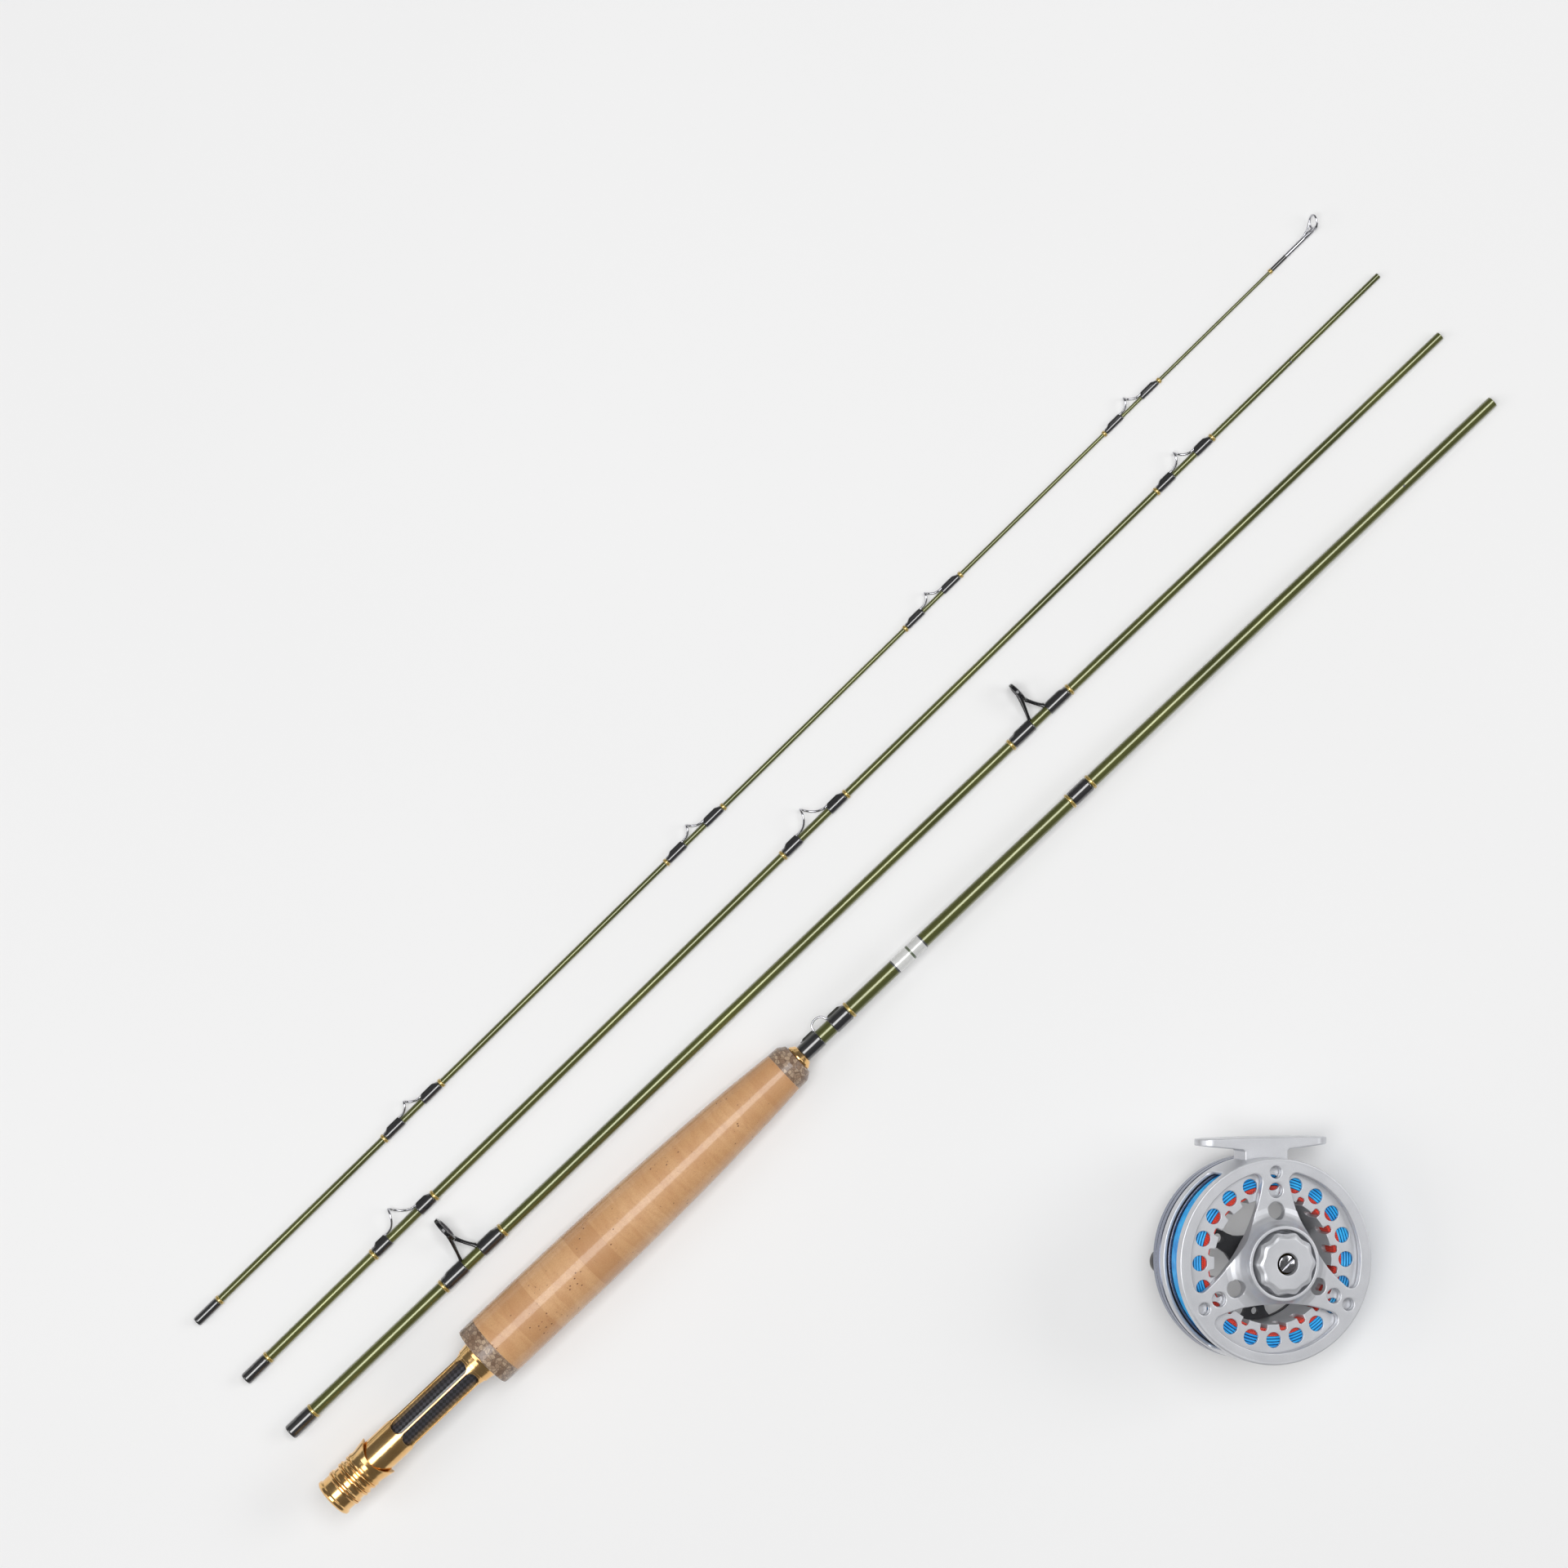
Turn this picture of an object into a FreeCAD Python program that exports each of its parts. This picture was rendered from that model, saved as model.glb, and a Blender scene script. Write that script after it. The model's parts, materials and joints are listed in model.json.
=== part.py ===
import FreeCAD, Part
import math
import os
import re
import Sketcher
from FreeCAD import Placement, Rotation, Vector

# A four-section fly rod, taken down, lying beside its fly reel.
#
# Each rod section is drawn in a frame of its own: X runs from the section's lower end to its tip,
# Y points to the side the line guides stand on, and the axis is the centre of the tube.
# The reel is drawn in a frame of its own: Z runs along the spindle towards the drag knob, Y points
# to the foot, and the outer face of the frame's drag side is at Z = 0.
# Both kinds are then laid on the ground, which is Z = 0 of the whole part.

SIZES = {
    # where the pieces lie
    "layout_shift_x": -336.07,
    "layout_shift_y": 69.08,
    "butt_yaw": -0.66,
    "section_3_start": 4.3,
    "section_3_side": 31.6,
    "section_3_yaw": -0.35,
    "section_3_roll": 10.2,
    "section_2_start": 6.2,
    "section_2_side": 60.7,
    "section_2_yaw": 0.27,
    "section_2_roll": 14.0,
    "tip_section_start": 8.1,
    "tip_section_side": 92.3,
    "tip_yaw": 0.39,
    "tip_roll": 14.0,
    "reel_along": 352.0,
    "reel_side": -198.6,
    "rod_bearing": 44.0,
    # tapered tubes of the four sections
    "butt_length": 669.0,
    "butt_low_radius": 4.28,
    "butt_top_radius": 2.45,
    "butt_wall": 0.6,
    "blank_inset": 12.6,
    "section_3_length": 668.0,
    "section_3_low_radius": 2.95,
    "section_3_top_radius": 1.85,
    "section_2_length": 665.0,
    "section_2_low_radius": 2.3,
    "section_2_top_radius": 1.25,
    "tip_length": 656.0,
    "tip_low_radius": 1.72,
    "tip_top_radius": 0.62,
    "thin_wall": 0.45,
    "ferrule_length": 45.0,
    "socket_depth": 50.0,
    "socket_clearance": 0.04,
    # thread wraps and trim
    "wrap_build": 0.4,
    "trim_build": 0.42,
    "trim_length": 1.8,
    "ferrule_wrap": 12.5,
    "label_build": 0.12,
    # reel seat
    "cap_length": 7.6,
    "ring_radius": 8.75,
    "barrel_radius": 7.8,
    "barrel_bore": 6.8,
    "thread_clearance": 0.06,
    "ring_gap": 0.1,
    "lock_ring_end": 12.9,
    "jam_ring_end": 17.3,
    "hood_end": 27.0,
    "hood_lip_radius": 9.65,
    "slot_start": 38.9,
    "slot_end": 79.5,
    "slot_width": 7.0,
    "barrel_end": 86.0,
    "fixed_hood_start": 80.5,
    "fixed_hood_radius": 8.9,
    # grip
    "grip_start": 94.0,
    "cork_count": 13,
    "cork_thickness": 12.7,
    "grip_low_radius": 14.3,
    "grip_top_radius": 9.5,
    "grip_ring": 8.0,
    "check_length": 3.0,
    "check_radius": 5.9,
    # guides
    "keeper_wire": 0.45,
    "snake_wire": 0.45,
    "ring_holder_outer": 6.0,
    "small_holder_outer": 4.75,
    "holder_width": 1.8,
    "strut_radius": 0.6,
    "loop_radius": 3.1,
    "loop_wire": 0.42,
    "loop_reach": 2.7,
    "loop_height": 3.0,
    "loop_lean": 38.0,
    "loop_turn": 30.0,
    # reel frame
    "rim_radius": 42.5,
    "window_radius": 37.5,
    "recess_radius": 40.8,
    "face_thickness": 3.2,
    "frame_depth": 23.0,
    "gap_near": 4.6,
    "gap_far": 19.0,
    "pillar_half": 20.6,
    "spider_waist": 17.0,
    "spider_arm": 11.0,
    "window_corner": 2.8,
    "hub_radius": 15.35,
    "hub_rise": 8.6,
    "hub_drop": 8.0,
    "hub_recess": 13.95,
    "drag_cavity": 12.4,
    "drag_floor": 6.5,
    "hub_bore": 4.6,
    # reel foot
    "foot_length": 58.0,
    "foot_width": 12.8,
    "foot_centre": -16.2,
    "foot_top": 50.5,
    # drag
    "knob_radius": 13.7,
    "knob_top": 12.0,
    "knob_bottom": 1.3,
    "spindle_radius": 2.5,
    "shaft_clearance": 0.05,
    "sleeve_radius": 4.4,
    # spool
    "flange_radius": 40.4,
    "near_flange": -3.6,
    "flange_thickness": 1.4,
    "line_near": -5.0,
    "line_far": -18.4,
    "line_crown": 39.4,
    "backing_crown": 31.0,
    "arbor_inner": 26.0,
    "arbor_outer": 27.8,
    "palm_near": -23.4,
    "palm_far": -31.0,
    "web_near": -25.5,
    "web_far": -28.0,
    "spool_holes": 20,
    "hole_circle": 32.4,
    "hole_radius": 3.2,
    "spoke_width": 11.0,
    "spool_hub": 9.0,
    # handle
    "handle_circle": 31.0,
    "handle_bearing": 185.0,
    "handle_reach": 20.0,
    "handle_radius": 6.0,
    "handle_foot": 5.2,
    "handle_pin": 1.6,
}

doc = FreeCAD.newDocument("fishing_rod_and_reel")
sheet = doc.addObject("Spreadsheet::Sheet", "sizes")
for row, (alias, number) in enumerate(SIZES.items(), 1):
    sheet.set("A%d" % row, alias)
    sheet.set("B%d" % row, str(number))
    sheet.setAlias("B%d" % row, alias)
doc.recompute()

parts = []


# ---------------------------------------------------------------- helpers

def on_sheet(text):
    """The expression text with each alias pointed at the sheet."""
    return re.sub(r"[a-z_]\w*", lambda word: "sizes." + word[0] if word[0] in SIZES else word[0], str(text))


def size(text):
    """The value of an expression in the sheet's aliases."""
    return float(sheet.evalExpression(on_sheet(text)))


def bind(item, **expressions):
    """Bind properties to the sheet; at_x, at_y and at_z are the local position."""
    for key, text in expressions.items():
        if key.startswith("at_"):
            key = "Placement.Base." + key[-1]
        item.setExpression(key, on_sheet(text))


def keep(item, label, placement):
    """Make the object a sub-part: its Label names its file."""
    item.Label = label
    item.Placement = placement
    parts.append(item)
    return item


def group(kind, name, members):
    """A boolean or compound of the members."""
    item = doc.addObject(kind, name)
    if kind == "Part::Compound":
        item.Links = members
    else:
        item.Shapes = members
    return item


def fuse(name, *members):
    return group("Part::MultiFuse", name, list(members))


def compound(name, *members):
    return group("Part::Compound", name, list(members))


def cut(name, base, *tools):
    """The base less every tool."""
    item = doc.addObject("Part::Cut", name)
    item.Base = base
    item.Tool = tools[0] if len(tools) == 1 else fuse(name + "_tools", *tools)
    return item


def common(name, base, tool):
    item = doc.addObject("Part::Common", name)
    item.Base = base
    item.Tool = tool
    return item


def box(name, length, width, height, at_x, at_y, at_z, turn=0.0):
    """A box with its centre at at_x, at_y and its underside at at_z, all turned about Z."""
    item = doc.addObject("Part::Box", name)
    bind(item, Length=length, Width=width, Height=height)
    centre = Vector(size(at_x), size(at_y), size(at_z))
    corner = Vector(-size(length) / 2, -size(width) / 2, 0)
    rotation = Rotation(Vector(0, 0, 1), turn)
    item.Placement = Placement(rotation.multVec(centre + corner), rotation)
    return item


def cylinder(name, radius, height, at_x=0, at_y=0, at_z=0):
    """A cylinder standing along Z from at_z."""
    item = doc.addObject("Part::Cylinder", name)
    bind(item, Radius=radius, Height=height, at_x=at_x, at_y=at_y, at_z=at_z)
    return item


def polar(name, radius, height, circle, bearing, at_z):
    """A cylinder along Z, standing on a circle at a bearing in degrees."""
    return cylinder(name, radius, height, "(%s) * cos((%s) * 1 deg)" % (circle, bearing),
                    "(%s) * sin((%s) * 1 deg)" % (circle, bearing), at_z)


def taper(name, start, length, low_radius, top_radius):
    """A cone frustum along X."""
    item = doc.addObject("Part::Cone", name)
    item.Placement = Placement(Vector(), Rotation(Vector(0, 1, 0), 90))
    bind(item, Radius1=low_radius, Radius2=top_radius, Height=length, at_x=start)
    return item


def origin_plane(body, role):
    return next(item for item in body.Origin.OriginFeatures if item.Role == role)


def outline(body, name, plane, corners):
    """A closed sketch of straight lines; each corner is a pair of expressions."""
    sketch = body.newObject("Sketcher::SketchObject", name)
    sketch.AttachmentSupport = [(origin_plane(body, plane), "")]
    sketch.MapMode = "FlatFace"
    points = [Vector(size(across), size(up), 0) for across, up in corners]
    for start, end in zip(points, points[1:] + points[:1]):
        sketch.addGeometry(Part.LineSegment(start, end), False)
    count = len(points)
    for index in range(count):
        sketch.addConstraint(Sketcher.Constraint("Coincident", index, 2, (index + 1) % count, 1))
    for index, corner in enumerate(corners):
        for kind, text, value in zip(("DistanceX", "DistanceY"), corner, points[index]):
            bound = sketch.addConstraint(Sketcher.Constraint(kind, index, 1, value))
            sketch.setExpression("Constraints[%d]" % bound, on_sheet(text))
    return sketch


def turned(name, corners, about="X"):
    """A body turned about X or Z; corners are (along, radius) for X and (radius, height) for Z."""
    body = doc.addObject("PartDesign::Body", name)
    plane, axis = ("XY_Plane", "H_Axis") if about == "X" else ("XZ_Plane", "V_Axis")
    sketch = outline(body, name + "_outline", plane, corners)
    turn = body.newObject("PartDesign::Revolution", name + "_turn")
    turn.Profile = sketch
    turn.ReferenceAxis = (sketch, [axis])
    turn.Angle = 360
    body.Tip = turn
    return body


def ring(name, inner, outer, low, high):
    """A plain ring about Z between two heights."""
    return turned(name, [(inner, low), (outer, low), (outer, high), (inner, high)], "Z")


def plate(name, corners, low, thickness):
    """A flat plate in the XY plane, padded up from a height."""
    body = doc.addObject("PartDesign::Body", name)
    sketch = outline(body, name + "_outline", "XY_Plane", corners)
    sketch.AttachmentOffset = Placement(Vector(0, 0, size(low)), Rotation())
    pad = body.newObject("PartDesign::Pad", name + "_pad")
    pad.Profile = sketch
    bind(pad, Length=thickness)
    body.Tip = pad
    return body


def shaped(name, shape):
    """A Part::Feature for a shape that is made with Part's own functions."""
    item = doc.addObject("Part::Feature", name)
    item.Shape = shape
    return item


def strut(start, end, radius):
    """A round bar with ball ends."""
    along = end - start
    bar = Part.makeCylinder(radius, along.Length, start, along)
    return bar.fuse([Part.makeSphere(radius, start), Part.makeSphere(radius, end)])


def bent_wire(points, radius):
    """A wire of round section: straight first and last runs, one smooth curve between."""
    curve = Part.BSplineCurve()
    curve.interpolate(Points=points[1:-1], InitialTangent=points[1] - points[0],
                      FinalTangent=points[-1] - points[-2])
    path = Part.Wire([Part.LineSegment(points[0], points[1]).toShape(), curve.toShape(),
                      Part.LineSegment(points[-2], points[-1]).toShape()])
    section = Part.Wire(Part.makeCircle(radius, points[0], points[1] - points[0]))
    return path.makePipeShell([section], True, False)


# ---------------------------------------------------------------- the four tapered sections

class Section:
    """One rod section: its taper, where it lies and how it leans on the ground."""

    def __init__(self, name, length, start, side, lean, roll, height):
        self.name = name
        self.low = name + "_low_radius"
        self.top = name + "_top_radius"
        self.length = length
        yaw = Rotation(Vector(0, 0, 1), size(name + "_yaw"))
        rest = yaw * Rotation(Vector(0, 1, 0), lean) * Rotation(Vector(1, 0, 0), roll)
        base = Vector(size("layout_shift_x") + start, size("layout_shift_y") + side, height)
        self.place = Placement(base, rest)

    def radius(self, along):
        """Outer radius of the blank as an expression; the last ferrule length is straight."""
        reach = "(%s - ferrule_length)" % self.length
        return "(%s - (%s - %s) * (%s) / %s)" % (self.low, self.low, self.top, along, reach)

    def sleeve(self, name, start, length, build):
        """A thin sleeve round the blank."""
        end = "(%s) + (%s)" % (start, length)
        outer = taper(name + "_outer", start, length, self.radius(start) + " + " + str(build),
                      self.radius(end) + " + " + str(build))
        inner = taper(name + "_inner", start, length, self.radius(start), self.radius(end))
        return cut(name, outer, inner)

    def trim(self, label, starts):
        """Narrow metallic bands."""
        bands = [self.sleeve("%s_band_%d" % (label, index), start, "trim_length", "trim_build")
                 for index, start in enumerate(starts)]
        return keep(compound(label, *bands), label, self.place)

    def wraps(self, label, spans, feet=()):
        """Thread wraps over (start, length) spans, grooved over the guide feet."""
        sleeves = []
        for index, (start, length) in enumerate(spans):
            name = "%s_%d" % (label, index)
            sleeve = self.sleeve(name, start, length, "wrap_build")
            grooves = [foot for foot_start, foot in feet if abs(foot_start - float(start)) < 0.01]
            if grooves:
                groove = shaped(name + "_groove", grooves[0])
                sleeve = cut(name + "_grooved", sleeve, groove)
            sleeves.append(sleeve)
        return keep(compound(label, *sleeves), label, self.place)


def grip_radius(step):
    """Outer radius of the grip at a joint between cork rings, as an expression."""
    return "grip_top_radius + (grip_low_radius - grip_top_radius) * (1 - (%d / cork_count) ^ 3)" % step


def lay_butt():
    """The butt section lies on the swell of its grip and on its top end."""
    end = size("butt_length")
    end_radius = size("butt_top_radius")
    lean = 0.0
    for step in range(int(size("cork_count")) + 1):
        along = size("grip_start + %d * cork_thickness" % step)
        lean = max(lean, math.asin((size(grip_radius(step)) - end_radius) / (end - along)))
    height = end_radius / math.cos(lean) + end * math.tan(lean)
    return Section("butt", "butt_length", 0.0, 0.0, math.degrees(lean), 0.0, height + 0.01)


def lay_on_wraps(name):
    """A section that lies on its thread wraps, so its underside is level."""
    low = size(name + "_low_radius")
    fall = (low - size(name + "_top_radius")) / size(name + "_length - ferrule_length")
    height = (low + size("trim_build")) * math.sqrt(1 + fall ** 2)
    return Section(name, name + "_length", size(name + "_start"), size(name + "_side"),
                   math.degrees(math.atan(fall)), size(name + "_roll"), height + 0.01)


def lay_tip():
    """The tip section lies on its ferrule wrap and on the loop of its tip-top."""
    low = size("tip_low_radius + trim_build")
    roll = math.radians(size("tip_roll"))
    turn = roll + math.radians(size("loop_turn"))
    radius = size("loop_radius")
    fall = radius * math.hypot(math.cos(turn), math.sin(turn) * math.cos(math.radians(size("loop_lean"))))
    end = fall + size("loop_wire") - size("loop_height") * math.sin(turn)
    lean = math.degrees(math.atan((low - max(end, low - 1.2)) / size("tip_length + loop_reach")))
    return Section("tip", "tip_length", size("tip_section_start"), size("tip_section_side"),
                   lean, math.degrees(roll), low + 0.08)


butt = lay_butt()
section_3 = lay_on_wraps("section_3")
section_2 = lay_on_wraps("section_2")
tip = lay_tip()


def hollow_blank(section, label, bore_start, wall, socket=None):
    """A tapered tube with a straight spigot at its top and, where given, a socket at its foot."""
    low = section.radius(bore_start)
    top = section.top
    spigot = "%s - ferrule_length" % section.length
    corners = [(bore_start, low), (spigot, top), (section.length, top),
               (section.length, "%s - %s" % (top, wall))]
    if socket:
        mouth = "%s + socket_clearance" % socket
        taper_end = "socket_depth + 6"
        bore = "%s - %s" % (section.radius(taper_end), wall)
        corners += [(taper_end, bore), ("socket_depth", mouth), (0, mouth)]
    else:
        corners += [(bore_start, "%s - %s" % (low, wall))]
    return keep(turned(label, corners), label, section.place)


# ---------------------------------------------------------------- butt section

def reel_seat():
    """Barrel with its windowed cage, the insert seen through it, the spacers and both hoods."""
    keep(turned("butt_cap", [(0, 0), (0, "ring_radius - 1"), (1, "ring_radius"),
                             ("cap_length", "ring_radius"), ("cap_length", "barrel_bore - 0.05"),
                             ("cap_length + 4.6", "barrel_bore - 0.05"), ("cap_length + 4.6", 0)]),
         "butt_cap", butt.place)

    cage = turned("seat_frame", [("cap_length", "barrel_bore"), ("cap_length", "barrel_radius"),
                                 ("barrel_end", "barrel_radius"), ("barrel_end", "barrel_bore")])
    window = cage.newObject("Sketcher::SketchObject", "seat_window")
    window.AttachmentSupport = [(origin_plane(cage, "XY_Plane"), "")]
    window.MapMode = "FlatFace"
    half = size("slot_width") / 2
    low = size("slot_start") + half
    high = size("slot_end") - half
    for end, bow in ((high, half), (low, -half)):
        window.addGeometry(Part.LineSegment(Vector(low + high - end, bow, 0), Vector(end, bow, 0)), False)
        curve = Part.Arc(Vector(end, bow, 0), Vector(end + bow, 0, 0), Vector(end, -bow, 0))
        window.addGeometry(curve, False)
    pocket = cage.newObject("PartDesign::Pocket", "seat_window_cut")
    pocket.Profile = window
    pocket.Reversed = True
    bind(pocket, Length="barrel_radius + 1")
    pattern = cage.newObject("PartDesign::PolarPattern", "seat_windows")
    pattern.Originals = [pocket]
    pattern.Axis = (origin_plane(cage, "X_Axis"), [""])
    pattern.Angle = 360
    pattern.Occurrences = 6
    cage.Tip = pattern
    keep(cage, "seat_frame", butt.place)

    keep(turned("seat_insert", [("slot_start - 3", 5.6), ("slot_start - 3", "barrel_bore"),
                                ("slot_end + 3", "barrel_bore"), ("slot_end + 3", 5.6)]),
         "seat_insert", butt.place)

    spacers = [butt.sleeve("seat_spacer_%d" % index, start, 7, 0.9)
               for index, start in enumerate((42, 57, 72))]
    keep(compound("seat_arbor", *spacers), "seat_arbor", butt.place)

    keep(turned("fixed_hood", [("fixed_hood_start", "barrel_radius"),
                               ("fixed_hood_start", "fixed_hood_radius"),
                               ("barrel_end", "fixed_hood_radius + 0.3"),
                               ("barrel_end", "barrel_radius")]),
         "fixed_hood", butt.place)


def seat_ring(label, start, end):
    """A threaded ring with a waist between two rims."""
    bore = "barrel_radius + thread_clearance"
    return keep(turned(label, [(start, bore), (start, "ring_radius - 0.3"), (start + " + 0.5", "ring_radius"),
                               (start + " + 1.1", "ring_radius"), (start + " + 1.7", "ring_radius - 0.5"),
                               (end + " - 1.7", "ring_radius - 0.5"), (end + " - 1.1", "ring_radius"),
                               (end + " - 0.5", "ring_radius"), (end, "ring_radius - 0.3"), (end, bore)]),
                label, butt.place)


def sliding_hood():
    """A flared cup that closes over the end of the reel's foot, with two pointed ears."""
    start = "jam_ring_end + ring_gap"
    cup = turned("seat_hood_cup", [(start, "barrel_radius + thread_clearance"), (start, "ring_radius"),
                                   (start + " + 3.6", "ring_radius - 0.3"), ("hood_end", "hood_lip_radius"),
                                   ("hood_end", "hood_lip_radius - 0.6"),
                                   (start + " + 3.6", "barrel_radius + thread_clearance")])
    notch = cylinder("seat_hood_notch", 4.6, 30, "hood_end + 1.6", 0, -15)
    keep(cut("seat_hood", cup, notch), "seat_hood", butt.place)


def grip():
    """Cork rings between two darker composite rings, and the winding check in front."""
    keep(butt.sleeve("grip_lower_ring", "barrel_end", "grip_ring",
                     "(grip_low_radius - %s)" % butt.radius("barrel_end")), "grip_lower_ring", butt.place)

    rings = []
    for index in range(int(size("cork_count"))):
        start = "(grip_start + %d * cork_thickness)" % index
        outer = taper("cork_%d_outer" % index, start, "cork_thickness", grip_radius(index),
                      grip_radius(index + 1))
        inner = taper("cork_%d_bore" % index, start, "cork_thickness", butt.radius(start),
                      butt.radius(start + " + cork_thickness"))
        rings.append(cut("cork_%d" % index, outer, inner))
    keep(compound("cork_grip", *rings), "cork_grip", butt.place)

    grip_end = "(grip_start + cork_count * cork_thickness)"
    upper = turned("grip_upper_ring", [(grip_end, butt.radius(grip_end)), (grip_end, "grip_top_radius"),
                                       (grip_end + " + 5.5", "grip_top_radius - 0.2"),
                                       (grip_end + " + grip_ring", "grip_top_radius - 2.2"),
                                       (grip_end + " + grip_ring", butt.radius(grip_end + " + grip_ring"))])
    keep(upper, "grip_upper_ring", butt.place)
    start = grip_end + " + grip_ring"
    end = start + " + check_length"
    keep(turned("winding_check", [(start, butt.radius(start)), (start, "check_radius"),
                                  (start + " + 1", "check_radius"), (end, "check_radius - 1.4"),
                                  (end, butt.radius(end))]), "winding_check", butt.place)
    return size(end)


def groove(section, start, length, wire):
    """The room for a wire guide's foot under its wrap, a little wider than the wire."""
    height = size(section.radius("%f" % (start + length / 2))) + wire + 0.05
    return Part.makeCylinder(wire + 0.02, length + 0.4, Vector(start - 0.2, height, 0), Vector(1, 0, 0))


def foot_point(section, along, wire):
    """A point on the centre line of a wire that lies along the blank."""
    return Vector(along, size(section.radius("%f" % along)) + wire + 0.05, 0)


def keeper_loop(check_end):
    """The wire loop that parks a hook, between two wraps, and the wraps and trim of the butt."""
    wire = size("keeper_wire")
    gap = 7.0
    wrap = 10.0
    first = check_end
    second = first + wrap + gap
    middle = first + wrap + gap / 2
    crown = size(butt.radius("%f" % middle)) + 3.6
    points = [foot_point(butt, first + 2.5, wire), foot_point(butt, first + wrap - 0.2, wire),
              Vector(middle - 2.0, crown - 1.3, 0), Vector(middle, crown, 0),
              Vector(middle + 2.0, crown - 1.3, 0),
              foot_point(butt, second + 0.2, wire), foot_point(butt, second + 7.5, wire)]
    keep(shaped("hook_keeper", bent_wire(points, wire)), "hook_keeper", butt.place)
    feet = [(first, groove(butt, first + 2.5, wrap - 2.5, wire)), (second, groove(butt, second, 7.5, wire))]
    accent = check_end + 155.0
    butt.wraps("butt_wraps", [(first, wrap), (second, 9), (accent, 10)], feet)
    butt.trim("butt_trim_bands", [second + 9, accent - size("trim_length"), accent + 10])
    label = butt.sleeve("butt_label_sleeve", check_end + 52.7, 16.5, "label_build")
    keep(compound("butt_label", label), "butt_label", butt.place)


hollow_blank(butt, "butt_blank", "blank_inset", "butt_wall")
reel_seat()
seat_ring("lock_ring", "cap_length + ring_gap", "lock_ring_end")
seat_ring("jam_ring", "lock_ring_end + ring_gap", "jam_ring_end")
sliding_hood()
keeper_loop(grip())


# ---------------------------------------------------------------- upper sections

def ferrule_spans(wraps):
    """A wrap at the socket's mouth, ahead of a section's guide wraps."""
    return [(0.0, size("ferrule_wrap"))] + wraps


def snake_guide(section, centre, gap, height, foot):
    """A wire that leaves one foot, goes once round the line's way and returns to the other foot."""
    wire = size("snake_wire")
    half = gap / 2
    low = size(section.radius("%f" % centre)) + wire + 0.05
    rise = (height - wire - low) / 2
    sway = 0.8 * rise
    steps = 9
    points = [foot_point(section, centre - half - foot, wire), foot_point(section, centre - half - 0.1, wire)]
    for step in range(1 - steps, steps):
        share = step / steps
        turn = math.pi * (1 + share)
        along = half * math.copysign(abs(share) ** 2.2, share)
        points.append(Vector(centre + along, low + rise - rise * math.cos(turn), sway * math.sin(turn)))
    points += [foot_point(section, centre + half + 0.1, wire),
               foot_point(section, centre + half + foot, wire)]
    return bent_wire(points, wire)


def snake_section(section, prefix, guides):
    """Snake guides with their wraps and trim; guides are (centre, gap, height, wrap length)."""
    wire = size("snake_wire")
    trim = size("trim_length")
    wires = []
    spans = []
    feet = []
    bands = [size("ferrule_wrap")]
    for centre, gap, height, wrap in guides:
        foot = wrap - 1.6
        wires.append(snake_guide(section, centre, gap, height, foot))
        low = centre - gap / 2 - wrap
        high = centre + gap / 2
        spans += [(low, wrap), (high, wrap)]
        feet += [(low, groove(section, low + wrap - foot, foot, wire)),
                 (high, groove(section, high, foot, wire))]
        bands += [low - trim, high + wrap]
    keep(shaped(prefix + "_snake_guides", Part.makeCompound(wires)), prefix + "_snake_guides", section.place)
    section.wraps(prefix + "_wraps", ferrule_spans(spans), feet)
    section.trim(prefix + "_trim_bands", bands)


def stripping_guide(section, centre, gap, height, outer, foot):
    """Frame and ring of a guide: two feet, a front leg, a rear pair and a holder for the ring."""
    width = size("holder_width")
    bar = size("strut_radius")
    ring_centre = Vector(centre, height, 0)
    along = Vector(1, 0, 0)
    holder = Part.makeCylinder(outer, width, ring_centre - along * (width / 2), along)
    bore = Part.makeCylinder(outer - 1.0, width + 2, ring_centre - along * (width / 2 + 1), along)
    surface = size(section.radius("%f" % centre))
    low = Vector(centre - gap / 2, surface + bar + 0.1, 0)
    high = low + along * gap
    middle = outer - 0.55
    pieces = [strut(high, ring_centre - Vector(0, middle, 0), bar)]
    for side in (-1, 1):
        shoulder = ring_centre + Vector(0, -0.35 * middle, side * 0.93 * middle)
        pieces.append(strut(low, shoulder, bar))
    for start, direction in ((low, -1), (high, 1)):
        corner = Vector(start.x if direction > 0 else start.x - foot, surface + 0.05, -1.0)
        pieces.append(Part.makeBox(foot, 0.6, 2.0, corner))
    frame = holder.fuse(pieces).cut(bore).removeSplitter()
    lip = Part.makeTorus(outer - 1.55, 0.5, ring_centre, along)
    return frame, lip


def stripping_section():
    """Section 3 with its two ringed guides."""
    trim = size("trim_length")
    frames = []
    rings = []
    spans = []
    feet = []
    bands = [size("ferrule_wrap")]
    wrap = 11.6
    foot = 9.4
    for centre, gap, height, outer in ((106.2, 9.2, 17.2, size("ring_holder_outer")),
                                       (435.5, 8.8, 14.4, size("small_holder_outer"))):
        frame, lip = stripping_guide(section_3, centre, gap, height, outer, foot)
        frames.append(frame)
        rings.append(lip)
        low = centre - gap / 2 - wrap
        high = centre + gap / 2
        spans += [(low, wrap), (high, wrap)]
        base = size(section_3.radius("%f" % centre)) - 0.1
        feet += [(low, Part.makeBox(foot + 0.4, 1.6, 2.1, Vector(low + wrap - foot - 0.2, base, -1.05))),
                 (high, Part.makeBox(foot + 0.4, 1.6, 2.1, Vector(high - 0.2, base, -1.05)))]
        bands += [low - trim, high + wrap]
    keep(shaped("stripping_guide_frames", Part.makeCompound(frames)), "stripping_guide_frames",
         section_3.place)
    keep(shaped("stripping_guide_rings", Part.makeCompound(rings)), "stripping_guide_rings",
         section_3.place)
    section_3.wraps("section_3_wraps", ferrule_spans(spans), feet)
    section_3.trim("section_3_trim_bands", bands)


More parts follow.
